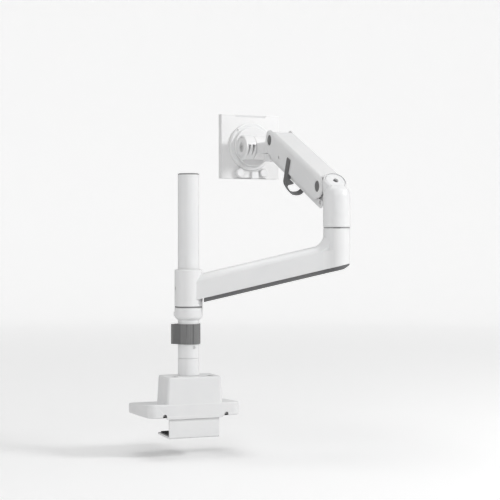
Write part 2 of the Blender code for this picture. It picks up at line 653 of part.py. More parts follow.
# ---------------------------------------------------------------- elbow
def make_elbow(post_foot):
    """Housing, shaft, sloping cap and the tension screw with its block and anchor pin."""
    lift_y, lift_z = LIFT_OFFSET, LIFT_HEIGHT
    slope = math.sqrt(0.5)
    down = Vector((0, slope, -slope))              # along the tension screw, into the housing
    cap = Vector((0, lift_y + CAP_CENTRE[0], lift_z + CAP_CENTRE[1]))
    house = turned("elbow_housing", [(0, ELBOW_SHOULDER + 16), (8, ELBOW_SHOULDER + 15.2),
                                     (14, ELBOW_SHOULDER + 12.6), (18.5, ELBOW_SHOULDER + 8.6),
                                     (21.4, ELBOW_SHOULDER + 3), (ELBOW_RADIUS, ELBOW_SHOULDER - 4),
                                     (ELBOW_RADIUS, ELBOW_FOOT + 0.6),
                                     (ELBOW_RADIUS - 0.6, ELBOW_FOOT), (0, ELBOW_FOOT)],
                   ELBOW, WHITE_PAINT, steps=ROUND)
    stub = turned("elbow_stub", [(0, 0), (18.6, 0), (19.6, -1.2), (20.6, -9), (20.6, -22), (0, -22)],
                  ELBOW, None, centre=cap, axis=-down, steps=ROUND)
    swing = rod("swing_space", 21.0, -40, 40, ELBOW, None, centre=(0, lift_y, lift_z),
                axis=(1, 0, 0), steps=ROUND)
    join(house, stub)
    cut(house, swing)

    tongue_line = (arc((0, 0), 14.8, -15, 148, 14)
                   + [(-24, 7.0), (-24, -50), (-11.2, -50), (-5.0, -33), (4.6, -30.6), (6.2, -24.5)])
    join(house, outline("elbow_tongue", [tongue_line], 2 * TONGUE_HALF, ELBOW, None, lay=SIDE,
                        centre=(0, lift_y, lift_z)))

    slot = outline("spring_slot", [[(-9, 22), (-9, 4), (-20, 4), (-20, -10), (-11, -24.5),
                                    (-11, -40), (30, -40), (30, 22)]], 2 * SLOT_HALF, ELBOW, None,
                   lay=SIDE, centre=(0, lift_y, lift_z))
    pin_bore = rod("lift_bore", 4.4, -30, 30, ELBOW, None, (0, lift_y, lift_z), (1, 0, 0))
    link_bore = rod("link_bore", 3.3, -30, 30, ELBOW, None, (0, lift_y, lift_z - LINK_DROP),
                    (1, 0, 0))
    anchor = (0, lift_y + ANCHOR[0], lift_z + ANCHOR[1])
    anchor_bore = rod("anchor_bore", 2.8, -30, 30, ELBOW, None, anchor, (1, 0, 0))
    seat = turned("cap_seat", [(0, 4), (17.7, 4), (17.7, -3.2), (6.4, -3.2), (6.4, -9.5),
                               (3.6, -9.5), (3.6, -22), (0, -22)], ELBOW, None, cap, -down)
    shaft_bore = rod("shaft_bore", 6.8, ELBOW_FOOT - 5, ELBOW_FOOT + 20, ELBOW, None)
    cut(house, slot, pin_bore, link_bore, anchor_bore, seat, shaft_bore)

    shaft = rod("elbow_shaft", 6.2, post_foot + 16, ELBOW_FOOT + 19.5, ELBOW, STEEL, steps=MID_ROUND)
    cut(shaft, rod("shaft_thread", 3.4, post_foot + 10, post_foot + 32, ELBOW, None))
    turned("elbow_shaft_screw", [(0, post_foot + 30), (3.0, post_foot + 30), (3.0, post_foot + 5.2),
                                 (8.0, post_foot + 5.2), (8.0, post_foot + 1), (0, post_foot + 1)],
           ELBOW, STEEL)
    turned("elbow_cap", [(4.6, 0.4), (12, 0.2), (16.2, -0.3), (17.0, -1.2), (17.0, -2.9),
                         (4.6, -2.9)], ELBOW, WHITE_PLASTIC, centre=cap, axis=-down, steps=ROUND)
    turned("tension_screw", [(0, -6), (1.8, -6), (1.8, -3.4), (4.2, -3.4), (5.6, -4.2), (5.6, -9.2),
                             (3.0, -9.2), (3.0, -25), (0, -25)], ELBOW, STEEL, centre=cap,
           axis=-down)
    near = ANCHOR
    far = (ANCHOR[0] - 16 * slope, ANCHOR[1] + 16 * slope)
    block = outline("tension_block", [slot_shape(near, far, 5.0), circle(near, 2.8, 12)], 14.8,
                    ELBOW, STEEL, lay=SIDE, centre=(0, lift_y, lift_z))
    yoke = rod("yoke_space", 10.4, -4.0, 4.0, ELBOW, None, anchor, (1, 0, 0), steps=MID_ROUND)
    block_way = rod("block_way", 3.4, -30, -10, ELBOW, None, cap, -down)
    cut(block, yoke, block_way)
    smooth(rod("spring_anchor_pin", 2.5, -12.8, 12.8, ELBOW, STEEL, anchor, (1, 0, 0)))


# ---------------------------------------------------------------- spring arm
def make_spring_arm():
    """The shell, its pins and caps, the gas spring's cylinder and the cable clip."""
    rear, head = 19.4, 18.2
    length = SPRING_ARM
    side = (arc((length, 0), head, -55, 90, 10)
            + arc((0, 0), rear, 90, 235, 10)
            + [(3, SKIRT), (length - 3, SKIRT)])
    shell = outline("spring_arm_shell", [side], 2 * SHELL_HALF, SPRING, WHITE_PAINT, lay=SIDE)
    crown = ([(-SHELL_HALF, -40), (SHELL_HALF, -40)]
             + arc((SHELL_HALF - 9, rear - 9), 9, 0, 75, 5)
             + [(0, rear + 1.2)]
             + arc((-SHELL_HALF + 9, rear - 9), 9, 105, 180, 5))
    envelope = outline("shell_section", [crown], length + 80, SPRING, None,
                       lay=FRONT, centre=(0, length / 2, 0))
    combine(shell, "INTERSECT", envelope)
    inside = ([(-SHELL_INNER, -50), (SHELL_INNER, -50)]
              + arc((SHELL_INNER - 6, head - 8.6), 6, 0, 90, 3)
              + arc((-SHELL_INNER + 6, head - 8.6), 6, 90, 180, 3))
    hollow = outline("shell_hollow", [inside], length + 120, SPRING, None, lay=FRONT,
                     centre=(0, length / 2, 0))
    rear_gap = box("shell_rear_gap", (-SHELL_INNER, -40, -50), (SHELL_INNER, -6, 40), SPRING, None)
    head_gap = box("shell_head_gap", (-SHELL_INNER, length - 9, -50),
                   (SHELL_INNER, length + 40, 40), SPRING, None)
    cut(shell, hollow, rear_gap, head_gap)
    for word, y in (("elbow", 0), ("head", length)):
        seat = [(0, 30), (9.6, 30), (9.6, 21), (4.4, 21), (4.4, -21), (9.6, -21), (9.6, -30),
                (0, -30)]
        cut(shell, turned(f"{word}_pivot_bore", seat, SPRING, None, (0, y, 0), (1, 0, 0), MID_ROUND))
        smooth(rod(f"{word}_pivot_pin", 4.0, -20.6, 20.6, SPRING, STEEL, (0, y, 0), (1, 0, 0)))
        for end, way in (("left", -1), ("right", 1)):
            turned(f"{word}_pivot_cap_{end}", [(0, 22.2), (8.2, 22.0), (9.2, 21.4), (9.2, 21.2),
                                               (0, 21.2)], SPRING, DARK_PLASTIC, (0, y, 0),
                   (way, 0, 0), steps=MID_ROUND)
    front_eye = 176.0
    cut(shell, rod("spring_pin_bore", 3.3, -30, 30, SPRING, None, (0, front_eye, SPRING_LINE),
                   (1, 0, 0)))
    smooth(rod("gas_spring_pin", 3.0, -21.6, 21.6, SPRING, STEEL, (0, front_eye, SPRING_LINE),
               (1, 0, 0)))
    cylinder = turned("gas_spring_cylinder",
                      [(0, 172), (5, 172), (5, 160), (8.2, 158), (9.0, 155), (9.0, 31),
                       (8.2, 29), (4.4, 29), (4.4, 110), (0, 110)], SPRING, STEEL,
                      centre=(0, 0, SPRING_LINE), axis=(0, 1, 0), steps=MID_ROUND)
    eye = rod("front_eye", 6.5, -5, 5, SPRING, None, (0, front_eye, SPRING_LINE), (1, 0, 0),
              steps=MID_ROUND)
    join(cylinder, eye)
    cut(cylinder, rod("front_eye_bore", 3.3, -9, 9, SPRING, None, (0, front_eye, SPRING_LINE),
                      (1, 0, 0)))
    slide = frame("gas_rod_frame", (0, 0, 0), parent=SPRING)
    eye_y = -6.4
    piston = rod("gas_spring_rod", 4.0, eye_y + 6, 82, slide, CHROME, (0, 0, SPRING_LINE), (0, 1, 0))
    join(piston, rod("rear_eye", 7.6, -3.6, 3.6, slide, None, (0, eye_y, SPRING_LINE), (1, 0, 0),
                     steps=MID_ROUND))
    cut(piston, rod("rear_eye_bore", 5.6, -8, 8, slide, None, (0, eye_y, SPRING_LINE), (1, 0, 0),
                    steps=MID_ROUND))
    make_arm_clip()


def make_arm_clip():
    """The cable clip: it grips the shell's left wall, turns under the arm and ends in a hook."""
    near, wall = SHELL_HALF + GAP, SHELL_INNER - GAP
    skin = near + 1.8
    band = [(-near, 1.5), (-skin, 0.7), (-skin, -42)]
    hook = [(-22.5, -47.5), (-17.5, -54.5), (-12, -60.5), (-8, -63), (-2, -64), (4, -63.6),
            (9, -61.5), (12.5, -57.5), (10.8, -56.4), (7.6, -59.8), (3.4, -61.6), (-2, -62),
            (-7, -61.1), (-10.6, -58.8), (-16, -53.2), (-20, -48)]
    shelf = [(-18.6, -45), (-9.6, -43.0), (-9.6, -40.4), (-15, -38.6), (-17.2, -37.0)]
    grip = [(-17.2, -16), (-wall, -16), (-wall, SKIRT - GAP), (-near, SKIRT - GAP)]
    clip = outline("arm_clip", [band + hook + shelf + grip], 14.0, SPRING, DARK_PLASTIC, lay=FRONT,
                   centre=(0, 129.0, 0))
    round_edges(clip, 0.3)


def make_link():
    """The lower link: an upward-open channel that closes the arm from below."""
    length = SPRING_ARM
    side = rounded([(-7, -9), (length + 7, -9), (length + 7, 5), (-7, 5)], [6, 6, 5, 5], 4)
    link = outline("lower_link", [side], 2 * LINK_HALF, LINK, WHITE_PAINT, lay=SIDE)
    inner = LINK_HALF - LINK_WALL
    trough = box("link_trough", (-inner, -30, -6), (inner, length + 30, 30), LINK, None)
    rear_gap = box("link_rear_gap", (-inner, -30, -30), (inner, 8, 30), LINK, None)
    head_gap = box("link_head_gap", (-inner, length - 8, -30), (inner, length + 30, 30), LINK, None)
    cut(link, trough, rear_gap, head_gap)
    for word, y in (("rear", 0), ("front", length)):
        cut(link, rod(f"{word}_link_bore", 3.3, -30, 30, LINK, None, (0, y, 0), (1, 0, 0)))
    for word, way in (("left", -1), ("right", 1)):
        smooth(rod(f"link_pin_rear_{word}", 3.0, SLOT_HALF + 0.2, LINK_HALF + 0.6, LINK, STEEL,
                   (0, 0, 0), (way, 0, 0)))
    smooth(rod("link_pin_front", 3.0, -LINK_HALF - 0.6, LINK_HALF + 0.6, LINK, STEEL,
               (0, length, 0), (1, 0, 0)))


# ---------------------------------------------------------------- head
def make_head():
    """The level bracket, the swivelling knuckle and the tilting bracket with their bolts."""
    shelf_low, shelf_high = -36.0, -23.0
    front = SWIVEL_REACH - 19.0
    tongue = (arc((0, 0), 14.6, 90, 200, 8) + [(-8, -20), (-6.0, -27)]
              + arc((0, -LINK_DROP), 5.6, 190, 300, 5) + [(9, shelf_low + 5), (9, shelf_low)]
              + [(front + 4, shelf_low), (front + 4, shelf_high), (front, shelf_high + 0.5)]
              + [(front, 4), (7, 13)])
    bracket = outline("head_bracket", [tongue], 2 * TONGUE_HALF, HEAD, WHITE_PAINT, lay=SIDE)
    shelf = outline("head_shelf", [[(-18.5, 10), (18.5, 10)]
                                   + arc((0, SWIVEL_REACH), 18.5, 0, 180, 14)],
                    shelf_high - shelf_low, HEAD, None, centre=(0, 0, (shelf_low + shelf_high) / 2))
    round_edges(shelf, 1.2, angle=60)
    join(bracket, shelf)
    bores = [rod("head_pivot_bore", 4.4, -30, 30, HEAD, None, (0, 0, 0), (1, 0, 0)),
             rod("head_link_bore", 3.3, -30, 30, HEAD, None, (0, 0, -LINK_DROP), (1, 0, 0)),
             rod("swivel_bore", 4.7, -60, 0, HEAD, None, (0, SWIVEL_REACH, 0)),
             rod("swivel_head_bore", 8.7, -60, shelf_low + 5, HEAD, None, (0, SWIVEL_REACH, 0))]
    cut(bracket, *bores)

    knuckle_low, knuckle_high = shelf_high + GAP + 0.9, 1.0
    knuckle = turned("head_knuckle", [(0, knuckle_high), (15.5, knuckle_high),
                                      (18.0, knuckle_high - 3), (18.2, knuckle_low + 1),
                                      (17.4, knuckle_low), (0, knuckle_low)], SWIVEL, WHITE_PAINT)
    neck = box("knuckle_neck", (-12.8, 0, knuckle_low + 0.6), (12.8, TILT_REACH - 6, knuckle_high - 0.8),
               SWIVEL, None, bevel=2.5)
    barrel = rod("knuckle_barrel", 22.0, -15.0, 15.0, SWIVEL, None,
                 (0, TILT_REACH, TILT_RISE), (1, 0, 0), steps=ROUND)
    join(knuckle, neck, barrel)
    cut(knuckle, rod("knuckle_tilt_bore", 5.4, -40, 40, SWIVEL, None,
                     (0, TILT_REACH, TILT_RISE), (1, 0, 0)),
        rod("knuckle_swivel_bore", 4.5, -40, -6, SWIVEL, None))
    turned("swivel_bolt", [(0, -8), (4.0, -8), (4.0, shelf_low + 4.6), (8.0, shelf_low + 4.6),
                           (8.0, shelf_low + 0.6), (2.5, shelf_low + 0.6), (2.5, shelf_low + 3),
                           (0, shelf_low + 3)], SWIVEL, STEEL)
    make_tilt_bracket()


def make_tilt_bracket():
    """Two barrel ends on a round flange, clamped to the knuckle by the tilt bolt."""
    flange_near, flange_far = 24.0, 29.2
    seat = BARREL_END - 3.0                       # where the caps and the bolt's head bear
    bracket = rod("tilt_bracket", 37.0, flange_near, flange_far, TILT, WHITE_PAINT,
                  centre=(0, 0, PLATE_RISE), axis=(0, 1, 0), steps=28, ease=1.0)
    for word, way in (("left", -1), ("right", 1)):
        end = rod(f"barrel_{word}", 22.6, 15.6, BARREL_END, TILT, None, axis=(way, 0, 0), steps=ROUND,
                  ease=1.0)
        arm = box(f"tilt_arm_{word}", (way * 25 - 8.9, 0, -16), (way * 25 + 8.9, 26, 16), TILT,
                  None, bevel=2.0)
        join(bracket, arm, end)
    cut(bracket, turned("tilt_bore", [(0, 44), (18.9, 44), (18.9, seat), (5.4, seat), (5.4, -seat),
                                     (18.9, -seat), (18.9, -44), (0, -44)], TILT, None,
                        axis=(1, 0, 0)))
    cut(bracket, rod("bracket_axle_bore", 5.4, 10, 40, TILT, None,
                     centre=(0, 0, PLATE_RISE), axis=(0, 1, 0)))
    for word, way in (("left", -1), ("right", 1)):
        turned(f"tilt_cap_{word}", [(9.3, seat + 2.6), (14.5, seat + 3.2), (17.6, seat + 3.0),
                                    (18.5, seat + 2.0), (18.5, seat + GAP), (9.3, seat + GAP)], TILT, WHITE_PLASTIC,
               axis=(way, 0, 0))
    turned("tilt_bolt", [(0, seat + 1.5), (2.9, seat + 1.5), (2.9, seat + 3.0), (8.0, seat + 3.0),
                         (8.9, seat + 2.0), (8.9, seat + GAP), (5.0, seat + GAP), (5.0, -seat - GAP),
                         (8.9, -seat - GAP), (8.9, -seat - 2.6), (0, -seat - 2.6)], TILT, STEEL, axis=(-1, 0, 0), steps=MID_ROUND)


def make_plate():
    """The turning disc, the front release plate, the screen plate and their screws."""
    disc_near, disc_far = -6.8, -GAP
    disc = turned("rotation_disc", [(0, disc_far), (DISC_RADIUS, disc_far), (DISC_RADIUS, disc_near + 2.5),
                                    (DISC_RADIUS - 1.5, disc_near + 0.8),
                                    (DISC_RADIUS - 5.5, disc_near + 0.8),
                                    (DISC_RADIUS - 6.5, disc_near), (0, disc_near)], PLATE, WHITE_PAINT,
                  axis=(0, 1, 0), steps=ROUND)
    cut(disc, rod("disc_bore", 5.4, -20, 20, PLATE, None, axis=(0, 1, 0)),
        rod("disc_pip", 2.6, -20, -3, PLATE, None, centre=(-30, 0, 31), axis=(0, 1, 0)))

    half, notch, dent = PLATE_HALF, 30.0, 4.5
    rim = [(-half, -half), (-notch - dent, -half), (-notch, -half + dent / 2),
           (notch, -half + dent / 2), (notch + dent, -half), (half, -half),
           (half, half), (notch + dent, half), (notch, half - dent), (-notch, half - dent),
           (-notch - dent, half), (-half, half)]
    holes = [circle((x, THUMB_Z), 3.4) for x in (-THUMB_X, THUMB_X)]
    outline("release_plate", [rim, circle((0, 0), 14, MID_ROUND)] + holes, 2.5, PLATE, WHITE_PAINT,
            lay=FRONT, centre=(0, 1.25, 0))
    tab = box("release_tab", (1.0, -5.5, -60), (15.0, -GAP, -46.6), PLATE, WHITE_PAINT, bevel=1.2)
    smooth(tab)

    back, sheet, lip = PLATE_DEPTH, 2.5, 2.5 + GAP
    tray = rounded([(-half, lip), (-half + sheet, lip), (-half + sheet, back - sheet),
                    (half - sheet, back - sheet), (half - sheet, lip), (half, lip),
                    (half, back), (-half, back)], [0, 0, 0, 0, 0, 0, 2, 2], 2)
    screen = outline("vesa_plate", [tray], 2 * half, PLATE, WHITE_PAINT)
    fixings = [circle((x * pitch, z * pitch), 2.3, 8)
               for pitch in (37.5, 50.0) for x in (-1, 1) for z in (-1, 1)]
    holes = outline("vesa_holes", [circle((0, 0), 20, MID_ROUND)] + fixings, 8.0, PLATE, None, lay=FRONT,
                    centre=(0, back, 0))
    cut(screen, holes)
    for way in (-1, 1):
        post = turned(f"plate_post_{way}", [(5.0, back - 1), (5.0, lip), (3.2, lip),
                                            (3.2, back - 1)][::-1], PLATE, None,
                      centre=(way * THUMB_X, 0, THUMB_Z), axis=(0, 1, 0), steps=SMALL_ROUND)
        join(screen, post)
    turned("rotation_bolt", [(0, 8.5), (2.5, 8.5), (2.5, 10.6), (10.0, 10.6), (11.0, 9.6),
                             (11.0, 3.2), (12.5, 3.2), (12.5, 0.1), (5.0, 0.1), (5.0, -11.2),
                             (0, -11.2)], PLATE, STEEL, axis=(0, 1, 0), steps=MID_ROUND)
    for word, way in (("left", -1), ("right", 1)):
        spin = frame(f"thumb_screw_{word}_axis", (way * THUMB_X, 0, THUMB_Z), parent=PLATE)
        turned(f"thumb_screw_{word}", [(0, -10), (6.6, -10), (7.9, -8.8), (7.9, -3.8), (6.8, -2.8),
                                       (4.6, -2.8), (4.6, -GAP), (2.9, -GAP), (2.9, 9.5), (0, 9.5)][::-1],
               spin, WHITE_PLASTIC, axis=(0, 1, 0), steps=MID_ROUND)


make_base()
make_pole()
make_clamp()
make_collar()
make_elbow(make_lower_arm())
make_spring_arm()
make_link()
make_head()
make_plate()
bpy.context.view_layer.update()
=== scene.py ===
"""Looks of the desk-clamped monitor arm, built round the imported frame.

Every visible CAD node is replaced by a finer piece of the same form, made here in the row's frame.
Dimensions are millimetres in each joint's own frame and are scaled by MM.
"""
import json
import math

import bmesh
import bpy
from mathutils import Matrix, Vector


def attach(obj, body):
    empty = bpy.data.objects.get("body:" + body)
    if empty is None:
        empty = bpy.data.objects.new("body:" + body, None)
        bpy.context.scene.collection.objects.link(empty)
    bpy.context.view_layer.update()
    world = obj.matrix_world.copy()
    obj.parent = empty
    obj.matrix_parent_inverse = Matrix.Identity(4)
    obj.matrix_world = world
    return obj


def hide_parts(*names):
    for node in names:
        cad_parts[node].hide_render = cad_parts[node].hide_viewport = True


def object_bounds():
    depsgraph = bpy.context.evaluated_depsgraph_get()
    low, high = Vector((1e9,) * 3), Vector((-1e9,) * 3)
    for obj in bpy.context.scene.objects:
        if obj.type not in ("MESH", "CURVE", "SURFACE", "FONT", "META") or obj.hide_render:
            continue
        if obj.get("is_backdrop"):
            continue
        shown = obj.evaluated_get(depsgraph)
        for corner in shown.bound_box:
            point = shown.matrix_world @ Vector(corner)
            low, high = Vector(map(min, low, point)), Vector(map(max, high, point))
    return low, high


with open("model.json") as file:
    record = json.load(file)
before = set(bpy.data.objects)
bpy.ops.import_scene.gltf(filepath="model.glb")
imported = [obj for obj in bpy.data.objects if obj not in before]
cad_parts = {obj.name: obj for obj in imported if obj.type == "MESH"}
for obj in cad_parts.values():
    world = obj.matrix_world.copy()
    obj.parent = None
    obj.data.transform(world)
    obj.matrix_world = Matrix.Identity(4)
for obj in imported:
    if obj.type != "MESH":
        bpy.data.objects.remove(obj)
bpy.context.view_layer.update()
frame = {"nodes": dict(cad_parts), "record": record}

# -------------------- driving dimensions (mm, degrees)
MM = 0.001
GAP = 0.3                      # clearance between pieces that rest on each other
FINE = 4                       # how many times finer than a plain facet count arcs are drawn
ROUND = 96                     # facets on a large turned piece
MID_ROUND = 64                 # facets on a cap or a bolt head
SMALL_ROUND = 40               # facets on a pin or screw

POLE_RADIUS = 17.5
POLE_BORE = 15.6
POLE_TOP = 394.0
CAP_TOP = 396.0
STUB_RADIUS = 14.0
STUB_TOP = 190.0
RING_TOP = 93.5                # top of the plain ring under the pole

PAD_TOP = 2.0
SLAB_FRONT = -34.0
SLAB_BACK = 68.0
SLAB_HALF_FRONT = 78.0
SLAB_HALF_BACK = 86.0
SLAB_TOP_FRONT = 22.5
SLAB_TOP_BACK = 16.0
TOWER_HALF_TOP = 45.4
TOWER_HALF_FOOT = 48.5
TOWER_FRONT = -33.0
TOWER_BACK = 23.0
TOWER_TOP = 65.5
WALL = 3.0                     # moulded wall of the base cover
SIDE_WALL = 2.0                # the tower's side walls thin towards the top, clear of the jaw
ROOF_FOOT = 58.5               # underside of the tower's roof, which carries the clamp screws
SCREW_SEAT = 61.5              # floor of the counterbores the clamp screws' heads sit in
APRON_FOOT = -2.0              # the front skirt hides the pad's edge
NOTCH_X = (-51.0, 54.0)        # half-round cable notches in the front skirt
NOTCH_RADIUS = 3.5

JAW_HALF = 42.7
JAW_PLATE = 3.5
JAW_FRONT = -30.0
JAW_TOP = 50.0
JAW_FOOT = -34.0
JAW_REACH = 32.0
CLAMP_SCREW_X = 30.0
CLAMP_SCREW_Y = -18.0

COLLAR_FOOT = 156.5
COLLAR_TOP = 176.6
COLLAR_RADIUS = 23.0
HUB_FOOT = 178.6
HUB_TOP = 239.0

ARM_YAW = -21.0                # plan angle of the lower arm from +X
ARM_LENGTH = 243.0
ARM_SLOPE = 0.2364             # rise of the beam per unit length
BEAM_TOP = 227.5               # height of the beam's top line above the pole's axis
BEAM_DEPTH = 41.0
BEAM_HALF = 18.5
POST_RADIUS = 22.2
POST_TOP = 306.0

ELBOW_RADIUS = 22.5
ELBOW_FOOT = 308.3
ELBOW_SHOULDER = 362.0
LIFT_OFFSET = 31.2             # elbow axis to the spring arm's rear pivot
LIFT_HEIGHT = 376.0
ARM_PITCH = 22.75              # spring arm's climb at rest
SPRING_ARM = 230.2             # rear pivot to head pivot
LINK_DROP = 27.0               # lower link's pivots below the shell's pivots
ANCHOR = (-1.0, -16.0)         # gas spring's anchor on the elbow, from the rear pivot
CAP_CENTRE = (-26.0, 9.0)      # sloping elbow cap's centre, from the rear pivot

SHELL_HALF = 22.0
SHELL_INNER = 19.0
SKIRT = -24.0                  # lower edge of the shell's sides
TONGUE_HALF = 13.0
SLOT_HALF = 8.0
LINK_HALF = 16.5
LINK_WALL = 3.0
SPRING_LINE = -13.3            # gas spring's axis below the shell's pivot line

HEAD_YAW = 5.0                 # the head stands turned by this much
SWIVEL_REACH = 32.0            # head pivot to the swivel axis
TILT_REACH = 61.0              # swivel axis to the tilt axis
TILT_RISE = -8.0               # tilt axis above the head pivot
BARREL_END = 36.5              # half the length of the tilt barrel
PLATE_REACH = 36.3             # tilt axis to the front plate's near face
PLATE_RISE = 3.5               # the plate's axis above the tilt axis
PLATE_HALF = 60.0
PLATE_DEPTH = 14.5             # near face of the front plate to the screen face
DISC_RADIUS = 44.5
THUMB_X = 25.0
THUMB_Z = -49.0

# -------------------- joint frames
def place(location, turn=(0, 0, 0), home=Matrix.Identity(4)):
    """A joint's own frame: moved by millimetres, then turned by degrees about x, y, z."""
    matrix = home @ Matrix.Translation(Vector(location) * MM)
    for angle, axis in zip(turn, "XYZ"):
        matrix = matrix @ Matrix.Rotation(math.radians(angle), 4, axis)
    return matrix


BASE = JAW = COLLAR = place((0, 0, 0))
LOWER = place((0, 0, 0), (0, 0, ARM_YAW))
ELBOW = place((ARM_LENGTH, 0, 0), (0, 0, -ARM_YAW), LOWER)
LIFT = place((0, LIFT_OFFSET, LIFT_HEIGHT), home=ELBOW)
SPRING = place((0, 0, 0), (ARM_PITCH, 0, 0), LIFT)
LINK = place((0, 0, -LINK_DROP), (ARM_PITCH, 0, 0), LIFT)
HEAD = place((0, SPRING_ARM, 0), (-ARM_PITCH, 0, 0), SPRING)
SWIVEL = place((0, SWIVEL_REACH, 0), (0, 0, HEAD_YAW), HEAD)
TILT = place((0, TILT_REACH, TILT_RISE), home=SWIVEL)
PLATE = place((0, PLATE_REACH, PLATE_RISE), home=TILT)

SIDES = (("left", -1), ("right", 1))
X_AXIS, Y_AXIS, Z_AXIS = (1, 0, 0), (0, 1, 0), (0, 0, 1)

# Own-frame axes (x, y, z of a flat outline) laid on the frame's axes.
FLAT = Matrix.Identity(4)                                                # outline in XY
SIDE = Matrix(((0, 0, 1, 0), (1, 0, 0, 0), (0, 1, 0, 0), (0, 0, 0, 1)))  # outline in YZ, depth X
FRONT = Matrix(((1, 0, 0, 0), (0, 0, -1, 0), (0, 1, 0, 0), (0, 0, 0, 1)))  # outline in XZ, depth -Y


# -------------------- building blocks
PIECES = {}                    # finished pieces by the name of the CAD node each stands for
SPARE = []                     # tools and guides, deleted once every piece is baked


def into_scene(thing):
    bpy.context.scene.collection.objects.link(thing)


def add(name, mesh, home, material):
    """Link a mesh made in a joint's own frame; no material means a tool."""
    piece = bpy.data.objects.new(name + ("_tool" if material is None else "_look"), mesh)
    piece.matrix_basis = home
    into_scene(piece)
    if material is None:
        SPARE.append(piece)
    else:
        PIECES[name] = piece
        piece["slot"] = material
    return piece


def finished(name, shape):
    """A mesh made from what was drawn in a bmesh, which is then freed."""
    mesh = bpy.data.meshes.new(name)
    shape.to_mesh(mesh)
    shape.free()
    return mesh


def turned(name, profile, parent, material, centre=(0, 0, 0), axis=Z_AXIS, steps=ROUND):
    """A turned piece: (radius, height) points down the outer side, round the given axis.

    A profile that starts and ends on the axis is solid; any other is closed into a ring.
    """
    lines = bmesh.new()
    points = [lines.verts.new((radius * MM, 0, height * MM)) for radius, height in profile]
    for first, second in zip(points, points[1:]):
        lines.edges.new((first, second))
    if profile[0][0] > 0:
        lines.edges.new((points[-1], points[0]))
    piece = add(name, finished(name, lines), parent, material)
    turn = Vector(Z_AXIS).rotation_difference(Vector(axis)).to_matrix().to_4x4()
    piece.matrix_basis = parent @ Matrix.Translation(Vector(centre) * MM) @ turn
    screw = piece.modifiers.new("turn", "SCREW")
    screw.steps = screw.render_steps = steps
    screw.use_merge_vertices = True
    screw.merge_threshold = 0.00001
    return piece


def stepped(top, *steps):
    """A turned profile in plain steps, each a radius and the height it goes down to."""
    profile = [(0, top)]
    for radius, foot in steps:
        profile += [(radius, profile[-1][1]), (radius, foot)]
    return profile + [(0, profile[-1][1])]


def rod(name, radius, low, high, parent, material, centre=(0, 0, 0), axis=Z_AXIS,
        steps=SMALL_ROUND, ease=0.0):
    """A plain cylinder from low to high along its axis, with its rims eased if asked."""
    if ease:
        profile = [(0, high), (radius - ease, high), (radius, high - ease), (radius, low + ease),
                (radius - ease, low), (0, low)]
    else:
        profile = stepped(high, (radius, low))
    return turned(name, profile, parent, material, centre, axis, steps)


def tool_rod(radius, low, high, parent, centre=(0, 0, 0), axis=Z_AXIS, steps=SMALL_ROUND,
             ease=0.0):
    """A cylinder that only cuts or extends another piece."""
    return rod("rod", radius, low, high, parent, None, centre, axis, steps, ease)


def tube(name, outer, inner, low, high, parent, material, centre=(0, 0, 0), axis=Z_AXIS,
         steps=ROUND):
    """A plain ring or tube from low to high along its axis."""
    profile = [(inner, high), (outer, high), (outer, low), (inner, low)]
    return turned(name, profile, parent, material, centre, axis, steps)


def box(name, low, high, parent, material, bevel=0.0):
    """A block between two corners, its edges rounded by a live Bevel."""
    block = bmesh.new()
    size = [(b - a) * MM for a, b in zip(low, high)]
    centre = [(a + b) / 2 * MM for a, b in zip(low, high)]
    stretch = Matrix.Translation(centre) @ Matrix.Diagonal((*size, 1))
    bmesh.ops.create_cube(block, size=1.0, matrix=stretch)
    piece = add(name, finished(name, block), parent, material)
    if bevel:
        round_edges(piece, bevel)
    return piece


def lofted(name, rings, parent, material):
    """A closed solid through rings of points that all have the same count."""
    skin = bmesh.new()
    loops = [[skin.verts.new(Vector(point) * MM) for point in ring] for ring in rings]
    for near, far in zip(loops, loops[1:]):
        for i, corner in enumerate(near):
            j = (i + 1) % len(near)
            skin.faces.new((corner, near[j], far[j], far[i]))
    skin.faces.new(loops[0])
    skin.faces.new(loops[-1])
    bmesh.ops.recalc_face_normals(skin, faces=skin.faces)
    return add(name, finished(name, skin), parent, material)


def round_edges(piece, width, segments=4, angle=40):
    """A live Bevel on the piece's hard edges."""
    bevel = piece.modifiers.new("round", "BEVEL")
    bevel.width = width * MM
    bevel.segments = segments
    bevel.limit_method = "ANGLE"
    bevel.angle_limit = math.radians(angle)


def outline(name, loops, depth, parent, material, lay=FLAT, centre=(0, 0, 0), shear=None):
    """A flat outline of a rim and its holes, made into a welded plate of the given depth."""
    curve = bpy.data.curves.new(name, "CURVE")
    curve.dimensions = "2D"
    curve.fill_mode = "BOTH"
    curve.extrude = depth / 2 * MM
    for loop in loops:
        spline = curve.splines.new("POLY")
        spline.points.add(len(loop) - 1)
        for point, (x, y) in zip(spline.points, loop):
            point.co = (x * MM, y * MM, 0, 1)
        spline.use_cyclic_u = True
    guide = bpy.data.objects.new(name + "_outline", curve)
    into_scene(guide)
    graph = bpy.context.evaluated_depsgraph_get()
    mesh = bpy.data.meshes.new_from_object(guide.evaluated_get(graph))
    mesh.name = name
    bpy.data.objects.remove(guide, do_unlink=True)
    weld = bmesh.new()
    weld.from_mesh(mesh)
    bmesh.ops.remove_doubles(weld, verts=weld.verts, dist=0.00001)
    if len(loops) == 1:
        bmesh.ops.dissolve_limit(weld, angle_limit=0.002, verts=weld.verts, edges=weld.edges)
    bmesh.ops.recalc_face_normals(weld, faces=weld.faces)
    weld.to_mesh(mesh)
    weld.free()
    mesh.transform(Matrix.Translation(Vector(centre) * MM) @ lay)
    if shear is not None:
        mesh.transform(shear)
    return add(name, mesh, parent, material)


def combine(target, operation, *tools):
    """Join or cut the target with tools, each an exact live Boolean."""
    for tool in tools:
        step = target.modifiers.new(operation.lower(), "BOOLEAN")
        step.operation = operation
        step.solver = "EXACT"
        step.object = tool


